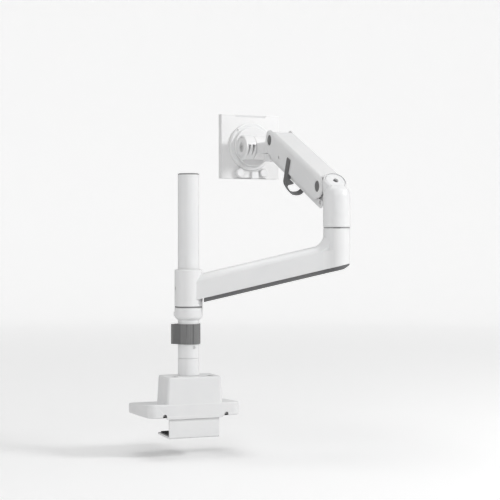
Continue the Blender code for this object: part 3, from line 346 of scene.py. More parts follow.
def cut(target, *tools):
    combine(target, "DIFFERENCE", *tools)


def join(target, *tools):
    combine(target, "UNION", *tools)


def arc(centre, radius, start, stop, steps):
    """Points along an arc, in degrees, anticlockwise when stop is the larger."""
    steps *= FINE
    angles = [math.radians(start + (stop - start) * i / steps) for i in range(steps + 1)]
    return [(centre[0] + radius * math.cos(a), centre[1] + radius * math.sin(a)) for a in angles]


def circle(centre, radius, steps=SMALL_ROUND):
    return arc(centre, radius, 0, 360, steps // FINE)[:-1]


def rounded(corners, radii, steps=4):
    """A polygon with each corner rounded by its own radius."""
    points = []
    steps *= FINE
    count = len(corners)
    for i, (corner, radius) in enumerate(zip(corners, radii)):
        here = Vector(corner)
        before = (Vector(corners[i - 1]) - here).normalized()
        after = (Vector(corners[(i + 1) % count]) - here).normalized()
        if radius <= 0:
            points.append(corner)
            continue
        half = before.angle(after) / 2
        reach = radius / math.tan(half)
        middle = here + (before + after).normalized() * (radius / math.sin(half))
        first = here + before * reach - middle
        last = here + after * reach - middle
        sweep = first.angle_signed(last)
        for k in range(steps + 1):
            arm = first.copy()
            arm.rotate(Matrix.Rotation(-sweep * k / steps, 2))
            points.append(tuple(middle + arm))
    return points


def level_way(degrees):
    """A level direction, by its angle round from +X."""
    return (math.cos(math.radians(degrees)), math.sin(math.radians(degrees)), 0)


def slot_shape(first, second, radius):
    """A straight bar with round ends about two points."""
    turn = math.degrees(math.atan2(second[1] - first[1], second[0] - first[0]))
    far = arc(second, radius, turn - 90, turn + 90, 6)
    return far + arc(first, radius, turn + 90, turn + 270, 6)


# -------------------- base: foot, pole and clamp
def tapered_block(name, foot, head, low, high, radius):
    """A tool lofted between two rounded rectangles (x0, y0, x1, y1) at two heights."""
    rings = []
    for (x0, y0, x1, y1), level in ((foot, low), (head, high)):
        loop = rounded([(x0, y0), (x1, y0), (x1, y1), (x0, y1)], [radius] * 4)
        rings.append([(x, y, level) for x, y in loop])
    return lofted(name, rings, BASE, None)


def slab_block(name, inset, low, material):
    """The foot's slab: it widens and thins towards the back."""
    fall = (SLAB_TOP_FRONT - SLAB_TOP_BACK) / (SLAB_BACK - SLAB_FRONT)
    corners = [(-SLAB_HALF_FRONT + inset, SLAB_FRONT + inset),
            (SLAB_HALF_FRONT - inset, SLAB_FRONT + inset),
            (SLAB_HALF_BACK - inset, SLAB_BACK - inset),
            (-SLAB_HALF_BACK + inset, SLAB_BACK - inset)]
    radii = [14 - inset, 14 - inset, 12 - inset, 12 - inset]
    loop = rounded(corners, radii, 5)
    high = SLAB_TOP_FRONT - inset
    piece = outline(name, [loop], high - low, BASE, material, centre=(0, 0, (high + low) / 2))
    for vertex in piece.data.vertices:
        if vertex.co.z > (high + low) / 2 * MM:
            vertex.co.z -= fall * (vertex.co.y - SLAB_FRONT * MM)
    return piece


def make_base():
    """The moulded cover with its hollow, the steel plate inside it and the rubber pad."""
    cover = slab_block("base_cover", 0.0, 0.5, "white_plastic")
    round_edges(cover, 2.0)
    tower_foot = (-TOWER_HALF_FOOT, TOWER_FRONT - 0.8, TOWER_HALF_FOOT, TOWER_BACK + 2)
    tower_head = (-TOWER_HALF_TOP, TOWER_FRONT, TOWER_HALF_TOP, TOWER_BACK)
    tower = tapered_block("tower_block", tower_foot, tower_head, 3.0, TOWER_TOP, 4.5)
    round_edges(tower, 2.5, angle=60)
    apron = box("apron_block", (-TOWER_HALF_FOOT, TOWER_FRONT - 0.8, APRON_FOOT),
            (TOWER_HALF_FOOT, JAW_FRONT - GAP, 8), BASE, None, bevel=0.6)
    join(cover, tower, apron)
    slab_hollow = slab_block("slab_hollow", WALL, -3.0, None)
    front, back = JAW_FRONT - GAP, TOWER_BACK - WALL
    half_foot, half_top = TOWER_HALF_FOOT - WALL, TOWER_HALF_TOP - SIDE_WALL
    tower_hollow = tapered_block("tower_hollow", (-half_foot, front, half_foot, back),
            (-half_top, front, half_top, back), -4.0, ROOF_FOOT, 0.0)
    pole_hole = tool_rod(STUB_RADIUS + 0.6, 50, 80, BASE, steps=ROUND)
    notches = [tool_rod(NOTCH_RADIUS, 25, 42, BASE, centre=(x, 0, 3.2), axis=(0, -1, 0))
            for x in NOTCH_X]
    slots = [box("notch_slot", (x - NOTCH_RADIUS, -42, -4), (x + NOTCH_RADIUS, -25, 3.2), BASE, None)
             for x in NOTCH_X]
    wells = [turned(f"screw_well_{side}", stepped(80, (6.0, SCREW_SEAT), (3.4, 50)), BASE, None,
            centre=(side * CLAMP_SCREW_X, CLAMP_SCREW_Y, 0), steps=SMALL_ROUND) for side in (-1, 1)]
    cut(cover, slab_hollow, tower_hollow, pole_hole, *notches, *slots, *wells)

    near = JAW_FRONT + JAW_PLATE + 2 * GAP        # the plate and pad start behind the jaw
    plate_rim = rounded([(-66, near), (66, near), (71, 61), (-71, 61)], [8, 8, 8, 8])
    outline("base_plate", [plate_rim, circle((0, 0), 5.3)], 6.0, BASE, "steel",
            centre=(0, 0, PAD_TOP + GAP + 3.0))
    pad_rim = rounded([(-68, near), (68, near), (74, 63), (-74, 63)], [9, 9, 9, 9])
    outline("desk_pad", [pad_rim], PAD_TOP, BASE, "rubber", centre=(0, 0, PAD_TOP / 2))


def make_pole():
    """Chromed stub post, plain ring, pole tube, cap, cable clip and locking screw."""
    foot = PAD_TOP + 6.0 + 2 * GAP
    grooves = [(0, STUB_TOP), (STUB_RADIUS - 1.5, STUB_TOP), (STUB_RADIUS, STUB_TOP - 1.5)]
    for level in (STUB_TOP - 34, STUB_TOP - 56):
        grooves += [(STUB_RADIUS, level + 2.2), (STUB_RADIUS - 1.2, level + 1.2),
                (STUB_RADIUS - 1.2, level - 1.2), (STUB_RADIUS, level - 2.2)]
    turned("stub_post", grooves + [(STUB_RADIUS, foot), (0, foot)], BASE, "chrome")
    tube("post_ring", POLE_RADIUS, STUB_RADIUS + GAP, TOWER_TOP + GAP, RING_TOP, BASE, "white_paint")
    pole = tube("pole", POLE_RADIUS, POLE_BORE, RING_TOP + GAP, POLE_TOP, BASE, "white_paint")
    level, way = (0, 0, 112), level_way(-78)
    cut(pole, tool_rod(2.8, 8, 24, BASE, level, way))
    rod("pole_grub_screw", 2.5, STUB_RADIUS + GAP, POLE_RADIUS - 0.3, BASE, "steel", level, way)
    rim = POLE_RADIUS
    turned("pole_cap", [(0, CAP_TOP), (rim - 1.6, CAP_TOP), (rim, CAP_TOP - 0.9),
            (rim, POLE_TOP + GAP), (POLE_BORE - GAP, POLE_TOP + GAP),
            (POLE_BORE - GAP, POLE_TOP - 14), (0, POLE_TOP - 14)], BASE, "dark_plastic")
    make_pole_clip()


def make_pole_clip():
    """A cable clip: a snap-on band round the pole with a round channel, open behind, on its left."""
    bore = POLE_RADIUS + 0.35
    skin = bore + 1.6
    channel = (-22.6, 4.4)                        # middle of the cable channel
    channel_radius, lobe_radius = 4.0, 6.0
    middle, height = 133.5, 33.0
    clip = outline("pole_clip", [arc((0, 0), skin, 148, 392, 18) + arc((0, 0), bore, 392, 148, 18)],
            height, BASE, "dark_plastic", centre=(0, 0, middle))
    lobe = outline("clip_lobe", [slot_shape(channel, (-4.5, -13.2), lobe_radius)], height - 0.2,
            BASE, None, centre=(0, 0, middle))
    ridge = tool_rod(1.5, middle - 16, middle + 16, BASE, centre=(3.4, -18.9, 0))
    groove = tool_rod(1.3, middle - 25, middle + 25, BASE, centre=(0.9, -20.2, 0))
    space = tool_rod(bore, middle - 25, middle + 25, BASE, steps=32)
    passage = outline("clip_channel", [slot_shape(channel, (-31.0, 20.0), channel_radius)],
            height + 6, BASE, None, centre=(0, 0, middle))
    join(clip, lobe, ridge)
    cut(clip, space, passage, groove)


def make_clamp():
    """The sheet-steel jaw that hangs behind the skirt, its ribbed pad and its two screws."""
    low = JAW_FOOT
    back, shelf, roof = JAW_FRONT + JAW_PLATE, low + JAW_PLATE, JAW_TOP - JAW_PLATE
    profile = rounded([(JAW_FRONT, low), (JAW_REACH, low), (JAW_REACH, shelf), (back, shelf),
            (back, roof), (-9, roof), (-9, JAW_TOP), (JAW_FRONT, JAW_TOP)], [3.0, 0, 0, 0.8, 0.8, 0,
            0, 3.0], 3)
    jaw = outline("clamp_bracket", [profile], 2 * JAW_HALF, JAW, "white_paint", lay=SIDE)
    tapped = [tool_rod(3.3, 30, 60, JAW,
            centre=(side * CLAMP_SCREW_X, CLAMP_SCREW_Y, 0)) for side in (-1, 1)]
    pole_relief = tool_rod(STUB_RADIUS + 3, 30, 60, JAW)
    cut(jaw, *tapped, pole_relief)

    top = low + JAW_PLATE + GAP
    rib, pitch = 2.6, 5.2
    reach = JAW_REACH - 4
    ribs = [(-24.5, top), (reach, top), (reach, top + 1.0)]
    y = reach
    while y - pitch > -24.5:
        ribs += [(y, top + 1.8), (y - rib, top + 1.8), (y - rib, top + 1.0), (y - pitch, top + 1.0)]
        y -= pitch
    outline("clamp_pad", [ribs + [(-24.5, top + 1.0)]], 2 * JAW_HALF - 8, JAW, "rubber", lay=SIDE)

    for word, side in SIDES:
        spin = place((side * CLAMP_SCREW_X, CLAMP_SCREW_Y, 0), home=BASE)
        head = SCREW_SEAT + GAP
        turned(f"clamp_screw_{word}", [(0, head + 1.2), (2.0, head + 1.2), (2.0, head + 3.5),
                (5.0, head + 3.5), (5.4, head + 3.0), (5.4, head), (3.0, head), (3.0, 9.0),
                (0, 9.0)], spin, "steel", steps=SMALL_ROUND)


# -------------------- collar and lower arm
def make_collar():
    """The height collar with its pinch screw, and the slip washer the arm turns on."""
    bore = POLE_RADIUS + GAP
    collar = turned("collar", [(bore, COLLAR_TOP), (COLLAR_RADIUS - 0.8, COLLAR_TOP),
            (COLLAR_RADIUS, COLLAR_TOP - 0.8), (COLLAR_RADIUS, COLLAR_FOOT + 6),
            (COLLAR_RADIUS - 1.2, COLLAR_FOOT + 2.8), (COLLAR_RADIUS - 3.8, COLLAR_FOOT + 0.8),
            (COLLAR_RADIUS - 4.6, COLLAR_FOOT), (bore, COLLAR_FOOT)], COLLAR, "white_alloy")
    level = (0, 0, 166.0)
    way = level_way(168)
    boss = tool_rod(3.8, 19, COLLAR_RADIUS + 1.2, COLLAR, level, way)
    join(collar, boss)
    cut(collar, tool_rod(2.8, 16, 30, COLLAR, level, way))
    rod("collar_screw", 2.5, bore + 0.1, COLLAR_RADIUS + 0.8, COLLAR, "steel", level, way)
    tube("collar_washer", COLLAR_RADIUS - 0.3, bore, COLLAR_TOP + GAP, HUB_FOOT - GAP, COLLAR,
         "dark_plastic")


def slope_matrix():
    """Raises everything by ARM_SLOPE per unit of x."""
    shear = Matrix.Identity(4)
    shear[2][0] = ARM_SLOPE
    return shear


def beam_piece(name, section, start, stop, material):
    """A section in the local YZ plane, run along the arm and sheared up its slope."""
    return outline(name, [section], stop - start, LOWER, material, lay=SIDE,
            centre=((start + stop) / 2, 0, 0), shear=slope_matrix())


def post_fillet(crest, lean, top):
    """The beam's arched top swept up into the post's side."""
    sweep, start = 23.0, math.degrees(math.atan(ARM_SLOPE))
    centre_x = ARM_LENGTH - POST_RADIUS + 0.6 - sweep
    foot_x = centre_x + sweep * math.sin(math.radians(start))
    centre_z = top - 0.3 + ARM_SLOPE * foot_x + sweep * math.cos(math.radians(start))
    crown = arc((0, 0), crest, 90 - lean, 90 + lean, 6)
    section = [(x, crest - y) for x, y in crown]                 # across, and down from the crest
    section += [(-crest * 0.8, crest * 0.85), (crest * 0.8, crest * 0.85)]
    rings = []
    stations = 28
    for k in range(stations + 1):
        turn = math.radians(start + (90 - start) * k / stations)
        ring = [(centre_x + (sweep + deep) * math.sin(turn), across,
                centre_z - (sweep + deep) * math.cos(turn)) for across, deep in section]
        rings.append(ring)
    rings.append([(x, y, z + 2.0) for x, y, z in rings[-1]])
    return lofted("post_fillet", rings, LOWER, None)


def beam_flare(way, low, high):
    """A hollow curve that carries the beam's side over into the round post."""
    sweep = 60.0
    run = math.sqrt((POST_RADIUS + sweep) ** 2 - (BEAM_HALF + sweep) ** 2)
    end = math.degrees(math.atan2(BEAM_HALF + sweep, run))
    curve = arc((ARM_LENGTH - run, BEAM_HALF + sweep), sweep, -90, -end, 4)
    loop = curve + [(ARM_LENGTH - 4, BEAM_HALF - 3), (ARM_LENGTH - run, BEAM_HALF - 3)]
    return outline("beam_flare", [[(x, y * way) for x, y in loop]], high - low, LOWER, None,
            centre=(0, 0, (low + high) / 2), shear=slope_matrix())


def make_lower_arm():
    """Hub, sloping hollow beam and elbow post in one casting, with a cover under the beam."""
    hub_bore = POLE_RADIUS + 2.2
    top, foot = BEAM_TOP, BEAM_TOP - BEAM_DEPTH
    post_axis = (ARM_LENGTH, 0, 0)
    arm = turned("lower_arm", [(0, HUB_TOP), (COLLAR_RADIUS - 1.5, HUB_TOP),
            (COLLAR_RADIUS, HUB_TOP - 1.5), (COLLAR_RADIUS, HUB_FOOT + 0.6),
            (COLLAR_RADIUS - 0.6, HUB_FOOT), (0, HUB_FOOT)], LOWER, "white_alloy")
    crest = 20.5                                  # radius of the beam's arched top
    lean = math.degrees(math.asin(BEAM_HALF / crest))
    crown = ([(-BEAM_HALF, foot), (BEAM_HALF, foot)]
             + arc((0, top - crest), crest, 90 - lean, 90 + lean, 8))
    beam = beam_piece("beam_block", crown, 4, ARM_LENGTH - 6, None)
    post_foot = foot + ARM_SLOPE * (ARM_LENGTH + 9.0)
    post = turned("post_block", [(0, POST_TOP), (POST_RADIUS - 0.6, POST_TOP),
            (POST_RADIUS, POST_TOP - 0.6), (POST_RADIUS, post_foot - 30), (0, post_foot - 30)],
            LOWER, None, centre=post_axis)
    fillet = post_fillet(crest, lean - 1, top)
    below = beam_piece("below_beam", [(-60, foot - 90), (60, foot - 90), (60, foot), (-60, foot)],
            COLLAR_RADIUS + 2, ARM_LENGTH + 60, None)
    flares = [beam_flare(way, foot, top - 12.2) for way in (-1, 1)]
    join(arm, beam, post, fillet, *flares)
    cut(arm, below)

    trough_half = BEAM_HALF - 4
    trough = beam_piece("cable_trough", rounded([(-trough_half, foot - 6), (trough_half, foot - 6),
            (trough_half, top - 8), (-trough_half, top - 8)], [0, 0, 5, 5], 2), 27, ARM_LENGTH - 27,
            None)
    bore = tool_rod(hub_bore, 170, 250, LOWER, steps=ROUND)
    post_bore = turned("post_bore", stepped(320, (9.2, post_foot + 12), (4.4, post_foot + 5.5),
            (8.4, post_foot - 20)), LOWER, None, centre=post_axis, steps=MID_ROUND)
    dot_level, dot_way = (0, 0, 208), level_way(201)
    screw_hole = tool_rod(3.3, 16, 30, LOWER, dot_level, dot_way)
    cut(arm, trough, bore, post_bore, screw_hole)

    tube("hub_bushing", hub_bore - GAP, POLE_RADIUS + GAP, HUB_FOOT + 0.4, HUB_TOP - 0.4, LOWER,
         "dark_plastic")
    rod("hub_screw", 3.0, hub_bore + GAP, COLLAR_RADIUS - 0.4, LOWER, "steel", dot_level, dot_way)
    cover_half, cover_round = BEAM_HALF - 1.5, POST_RADIUS - 1.2
    spread = math.degrees(math.asin(cover_half / cover_round))
    cover_rim = ([(25.5, -cover_half)] + arc((ARM_LENGTH, 0), cover_round, spread - 180,
            180 - spread, 14) + [(25.5, cover_half)])
    strip = outline("cable_cover", [cover_rim], 6.4, LOWER, "dark_plastic",
            centre=(0, 0, foot - GAP - 3.2), shear=slope_matrix())
    under = foot - GAP - 6.4 + ARM_SLOPE * ARM_LENGTH
    cut(strip, outline("cover_end", [[(ARM_LENGTH + 8, under + 1), (ARM_LENGTH + 40, under + 21),
            (ARM_LENGTH + 40, under - 20), (ARM_LENGTH + 8, under - 20)]], 80, LOWER, None,
            lay=FRONT))
    round_edges(strip, 1.2, angle=60)
    tube("elbow_washer", POST_RADIUS - 0.5, 8.8, POST_TOP + GAP, ELBOW_FOOT - GAP, LOWER,
         "dark_plastic", centre=post_axis)
    tube("elbow_bushing", 8.9, 6.5, post_foot + 12 + GAP, POST_TOP - GAP, LOWER, "dark_plastic",
         centre=post_axis, steps=MID_ROUND)
    return post_foot


# -------------------- elbow
def make_elbow(post_foot):
    """Housing, shaft, sloping cap and the tension screw with its block and anchor pin."""
    lift_y, lift_z = LIFT_OFFSET, LIFT_HEIGHT
    pivot = (0, lift_y, lift_z)
    slope = math.sqrt(0.5)
    down = Vector((0, slope, -slope))              # along the tension screw, into the housing
    cap = Vector((0, lift_y + CAP_CENTRE[0], lift_z + CAP_CENTRE[1]))
    house = turned("elbow_housing", [(0, ELBOW_SHOULDER + 16), (8, ELBOW_SHOULDER + 15.2),
            (14, ELBOW_SHOULDER + 12.6), (18.5, ELBOW_SHOULDER + 8.6), (21.4, ELBOW_SHOULDER + 3),
            (ELBOW_RADIUS, ELBOW_SHOULDER - 4), (ELBOW_RADIUS, ELBOW_FOOT + 0.6),
            (ELBOW_RADIUS - 0.6, ELBOW_FOOT), (0, ELBOW_FOOT)], ELBOW, "white_alloy")
    stub = turned("elbow_stub", [(0, 0), (18.6, 0), (19.6, -1.2), (20.6, -9), (20.6, -22),
            (0, -22)], ELBOW, None, centre=cap, axis=-down)
    swing = tool_rod(21.0, -40, 40, ELBOW, centre=pivot, axis=X_AXIS, steps=ROUND)
    join(house, stub)
    cut(house, swing)

    tongue_line = (arc((0, 0), 14.8, -15, 148, 14) + [(-24, 7.0), (-24, -50), (-11.2, -50),
            (-5.0, -33), (4.6, -30.6), (6.2, -24.5)])
    join(house, outline("elbow_tongue", [tongue_line], 2 * TONGUE_HALF, ELBOW, None, lay=SIDE,
            centre=pivot))

    slot = outline("spring_slot", [[(-9, 22), (-9, 4), (-20, 4), (-20, -10), (-11, -24.5),
            (-11, -40), (30, -40), (30, 22)]], 2 * SLOT_HALF, ELBOW, None, lay=SIDE,
            centre=pivot)
    pin_bore = tool_rod(4.4, -30, 30, ELBOW, pivot, X_AXIS)
    link_bore = tool_rod(3.3, -30, 30, ELBOW, (0, lift_y, lift_z - LINK_DROP), X_AXIS)
    anchor = (0, lift_y + ANCHOR[0], lift_z + ANCHOR[1])
    anchor_bore = tool_rod(2.8, -30, 30, ELBOW, anchor, X_AXIS)
    seat = turned("cap_seat", stepped(4, (17.7, -3.2), (6.4, -9.5), (3.6, -22)), ELBOW, None, cap,
            -down)
    shaft_bore = tool_rod(6.8, ELBOW_FOOT - 5, ELBOW_FOOT + 20, ELBOW)
    cut(house, slot, pin_bore, link_bore, anchor_bore, seat, shaft_bore)

    shaft = rod("elbow_shaft", 6.2, post_foot + 16, ELBOW_FOOT + 19.5, ELBOW, "steel", steps=MID_ROUND)
    cut(shaft, tool_rod(3.4, post_foot + 10, post_foot + 32, ELBOW))
    turned("elbow_shaft_screw", stepped(post_foot + 30, (3.0, post_foot + 5.2),
            (8.0, post_foot + 1)), ELBOW, "steel")
    nearer = Vector((0, -0.25, -0.25))             # the cap sits a little low in its seat
    turned("elbow_cap", [(4.8, 0.4), (12, 0.2), (15.6, -0.3), (16.3, -1.2), (16.3, -2.9),
            (4.8, -2.9)], ELBOW, "white_plastic", centre=cap + nearer, axis=-down)
    turned("tension_screw", [(0, -6), (1.8, -6), (1.8, -3.4), (4.2, -3.4), (5.6, -4.2), (5.6, -9.2),
            (3.0, -9.2), (3.0, -25), (0, -25)], ELBOW, "steel", centre=cap, axis=-down)
    near = ANCHOR
    far = (ANCHOR[0] - 16 * slope, ANCHOR[1] + 16 * slope)
    block = outline("tension_block", [slot_shape(near, far, 5.0), circle(near, 2.8, 12)], 14.8,
            ELBOW, "steel", lay=SIDE, centre=pivot)
    yoke = tool_rod(10.4, -4.0, 4.0, ELBOW, anchor, X_AXIS, steps=MID_ROUND)
    block_way = tool_rod(3.4, -30, -10, ELBOW, cap, -down)
    cut(block, yoke, block_way)
    rod("spring_anchor_pin", 2.5, -12.8, 12.8, ELBOW, "steel", anchor, X_AXIS)


# -------------------- spring arm
def make_spring_arm():
    """The shell, its pins and caps, the gas spring's cylinder and the cable clip."""
    rear, head = 19.4, 18.2
    length = SPRING_ARM
    side = (arc((length, 0), head, -55, 90, 10)
            + arc((0, 0), rear, 90, 235, 10)
            + [(3, SKIRT), (length - 3, SKIRT)])
    shell = outline("spring_arm_shell", [side], 2 * SHELL_HALF, SPRING, "white_alloy", lay=SIDE)
    crown = ([(-SHELL_HALF, -40), (SHELL_HALF, -40)]
             + arc((SHELL_HALF - 9, rear - 9), 9, 0, 75, 5)
             + [(0, rear + 1.2)]
             + arc((-SHELL_HALF + 9, rear - 9), 9, 105, 180, 5))
    envelope = outline("shell_section", [crown], length + 80, SPRING, None, lay=FRONT,
            centre=(0, length / 2, 0))
    combine(shell, "INTERSECT", envelope)
    inside = ([(-SHELL_INNER, -50), (SHELL_INNER, -50)]
              + arc((SHELL_INNER - 6, head - 8.6), 6, 0, 90, 3)
              + arc((-SHELL_INNER + 6, head - 8.6), 6, 90, 180, 3))
    hollow = outline("shell_hollow", [inside], length + 120, SPRING, None, lay=FRONT,
            centre=(0, length / 2, 0))
    rear_gap = box("shell_rear_gap", (-SHELL_INNER, -40, -50), (SHELL_INNER, -6, 40), SPRING, None)
    head_gap = box("shell_head_gap", (-SHELL_INNER, length - 9, -50),
            (SHELL_INNER, length + 40, 40), SPRING, None)
    cut(shell, hollow, rear_gap, head_gap)
    for word, y in (("elbow", 0), ("head", length)):
        seat = stepped(30, (9.6, 21), (4.4, -21), (9.6, -30))
        cut(shell, turned(f"{word}_pivot_bore", seat, SPRING, None, (0, y, 0), X_AXIS, MID_ROUND))
        rod(f"{word}_pivot_pin", 4.0, -20.6, 20.6, SPRING, "steel", (0, y, 0), X_AXIS)
        for end, way in SIDES:
            turned(f"{word}_pivot_cap_{end}", [(0, 22.2), (8.2, 22.0), (9.2, 21.4), (9.2, 21.2),
                    (0, 21.2)], SPRING, "dark_plastic", (0, y, 0), (way, 0, 0), steps=MID_ROUND)
    front_eye = (0, 176.0, SPRING_LINE)
    cut(shell, tool_rod(3.3, -30, 30, SPRING, front_eye, X_AXIS))
    rod("gas_spring_pin", 3.0, -21.6, 21.6, SPRING, "steel", front_eye, X_AXIS)
    cylinder = turned("gas_spring_cylinder", [(0, 172), (5, 172), (5, 160), (8.2, 158), (9.0, 155),
            (9.0, 31), (8.2, 29), (4.4, 29), (4.4, 110), (0, 110)], SPRING, "steel",
            centre=(0, 0, SPRING_LINE), axis=Y_AXIS, steps=MID_ROUND)
    eye = tool_rod(6.5, -5, 5, SPRING, front_eye, X_AXIS, steps=MID_ROUND)
    join(cylinder, eye)
    cut(cylinder, tool_rod(3.3, -9, 9, SPRING, front_eye, X_AXIS))
    eye_y = -6.4
    rear_eye = (0, eye_y, SPRING_LINE)
    piston = rod("gas_spring_rod", 4.0, eye_y + 6, 82, SPRING, "chrome", (0, 0, SPRING_LINE), Y_AXIS)
    join(piston, tool_rod(7.6, -3.6, 3.6, SPRING, rear_eye, X_AXIS, steps=MID_ROUND))
    cut(piston, tool_rod(5.6, -8, 8, SPRING, rear_eye, X_AXIS, steps=MID_ROUND))
    make_arm_clip()


def make_arm_clip():
    """The cable clip: it grips the shell's left wall, turns under the arm and ends in a hook."""
    near, wall = SHELL_HALF + GAP, SHELL_INNER - GAP
    skin = near + 1.8
    band = [(-near, 1.5), (-skin, 0.7), (-skin, -42)]
    hook = [(-22.5, -47.5), (-17.5, -54.5), (-12, -60.5), (-8, -63), (-2, -64), (4, -63.6),
            (9, -61.5), (12.5, -57.5), (10.8, -56.4), (7.6, -59.8), (3.4, -61.6), (-2, -62),
            (-7, -61.1), (-10.6, -58.8), (-16, -53.2), (-20, -48)]
    shelf = [(-18.6, -45), (-9.6, -43.0), (-9.6, -40.4), (-15, -38.6), (-17.2, -37.0)]
    grip = [(-17.2, -16), (-wall, -16), (-wall, SKIRT - GAP), (-near, SKIRT - GAP)]
    clip = outline("arm_clip", [band + hook + shelf + grip], 14.0, SPRING, "dark_plastic",
            lay=FRONT, centre=(0, 129.0, 0))
    round_edges(clip, 0.3)


def make_link():
    """The lower link: an upward-open channel that closes the arm from below."""
    length = SPRING_ARM
    side = rounded([(-7, -9), (length + 7, -9), (length + 7, 5), (-7, 5)], [6, 6, 5, 5], 4)
    link = outline("lower_link", [side], 2 * LINK_HALF, LINK, "white_alloy", lay=SIDE)
    inner = LINK_HALF - LINK_WALL
    trough = box("link_trough", (-inner, -30, -6), (inner, length + 30, 30), LINK, None)
    rear_gap = box("link_rear_gap", (-inner, -30, -30), (inner, 8, 30), LINK, None)
    head_gap = box("link_head_gap", (-inner, length - 8, -30), (inner, length + 30, 30), LINK, None)
    cut(link, trough, rear_gap, head_gap)
    for y in (0, length):
        cut(link, tool_rod(3.3, -30, 30, LINK, (0, y, 0), X_AXIS))
    for word, way in SIDES:
        rod(f"link_pin_rear_{word}", 3.0, SLOT_HALF + 0.2, LINK_HALF + 0.6, LINK, "steel",
                (0, 0, 0), (way, 0, 0))
    rod("link_pin_front", 3.0, -LINK_HALF - 0.6, LINK_HALF + 0.6, LINK, "steel", (0, length, 0),
            X_AXIS)


# -------------------- head
def make_head():
    """The level bracket, the swivelling knuckle and the tilting bracket with their bolts."""
    shelf_low, shelf_high = -36.0, -23.0
    front = SWIVEL_REACH - 19.0
    tongue = (arc((0, 0), 14.6, 90, 200, 8) + [(-8, -20), (-6.0, -27)]
              + arc((0, -LINK_DROP), 5.6, 190, 300, 5) + [(9, shelf_low + 5), (9, shelf_low)]
              + [(front + 4, shelf_low), (front + 4, shelf_high), (front, shelf_high + 0.5)]
              + [(front, 4), (7, 13)])
    bracket = outline("head_bracket", [tongue], 2 * TONGUE_HALF, HEAD, "white_alloy", lay=SIDE)
    shelf = outline("head_shelf", [[(-18.5, 10), (18.5, 10)]
            + arc((0, SWIVEL_REACH), 18.5, 0, 180, 14)], shelf_high - shelf_low, HEAD, None,
            centre=(0, 0, (shelf_low + shelf_high) / 2))
    round_edges(shelf, 1.2, angle=60)
    join(bracket, shelf)
    bores = [tool_rod(4.4, -30, 30, HEAD, (0, 0, 0), X_AXIS),
             tool_rod(3.3, -30, 30, HEAD, (0, 0, -LINK_DROP), X_AXIS),
             tool_rod(4.7, -60, 0, HEAD, (0, SWIVEL_REACH, 0)),
             tool_rod(8.7, -60, shelf_low + 5, HEAD, (0, SWIVEL_REACH, 0))]
    cut(bracket, *bores)

    knuckle_low, knuckle_high = shelf_high + GAP + 0.9, 1.0
    knuckle = turned("head_knuckle", [(0, knuckle_high), (15.5, knuckle_high),
            (18.0, knuckle_high - 3), (18.2, knuckle_low + 1), (17.4, knuckle_low),
            (0, knuckle_low)], SWIVEL, "white_alloy")
    neck = box("knuckle_neck", (-12.8, 0, knuckle_low + 0.6),
            (12.8, TILT_REACH - 6, knuckle_high - 0.8), SWIVEL, None, bevel=2.5)
    tilt_centre = (0, TILT_REACH, TILT_RISE)
    barrel = tool_rod(22.0, -15.0, 15.0, SWIVEL, tilt_centre, X_AXIS, steps=ROUND)
    join(knuckle, neck, barrel)
    cut(knuckle, tool_rod(5.4, -40, 40, SWIVEL, tilt_centre, X_AXIS),
        tool_rod(4.5, -40, -6, SWIVEL))
    turned("swivel_bolt", stepped(-8, (4.0, shelf_low + 4.6), (8.0, shelf_low + 0.6),
            (2.5, shelf_low + 3)), SWIVEL, "steel")
    make_tilt_bracket()


def make_tilt_bracket():
    """Two barrel ends on a round flange, clamped to the knuckle by the tilt bolt."""
    flange_near, flange_far = 24.0, 29.2
    seat = BARREL_END - 3.0                       # where the caps and the bolt's head bear
    bracket = rod("tilt_bracket", 37.0, flange_near, flange_far, TILT, "white_alloy",
            centre=(0, 0, PLATE_RISE), axis=Y_AXIS, steps=28, ease=1.0)
    for word, way in SIDES:
        end = tool_rod(22.6, 15.6, BARREL_END, TILT, axis=(way, 0, 0), steps=ROUND, ease=1.0)
        arm = box(f"tilt_arm_{word}", (way * 25 - 8.9, 0, -16), (way * 25 + 8.9, 26, 16), TILT,
                None, bevel=2.0)
        join(bracket, arm, end)
    cut(bracket, turned("tilt_bore", stepped(44, (18.9, seat), (5.4, -seat), (18.9, -44)), TILT,
            None, axis=X_AXIS))
    for word, way in SIDES:
        for row, x in (("outer", 32.5), ("inner", 24.0)):      # wedge pockets that thin the casting
            pocket = [(way * x, 5.0), (way * (x - 6.0), 3.5), (way * (x - 0.5), -16.5)]
            cut(bracket, outline(f"{row}_pocket_{word}", [pocket], 11.0, TILT, None, lay=FRONT,
                    centre=(0, -18.5, 0)))
    cut(bracket, tool_rod(5.4, 10, 40, TILT, centre=(0, 0, PLATE_RISE), axis=Y_AXIS))
    for word, way in SIDES:
        turned(f"tilt_cap_{word}", [(9.3, seat + 2.6), (14.5, seat + 3.2), (17.6, seat + 3.0),
                (18.5, seat + 2.0), (18.5, seat + GAP), (9.3, seat + GAP)], TILT, "white_plastic",
                axis=(way, 0, 0))
    turned("tilt_bolt", [(0, seat + 1.5), (2.9, seat + 1.5), (2.9, seat + 3.0), (8.0, seat + 3.0),
            (8.9, seat + 2.0), (8.9, seat + GAP), (5.0, seat + GAP), (5.0, -seat - GAP),
            (8.9, -seat - GAP), (8.9, -seat - 2.6), (0, -seat - 2.6)], TILT, "steel",
            axis=(-1, 0, 0), steps=MID_ROUND)


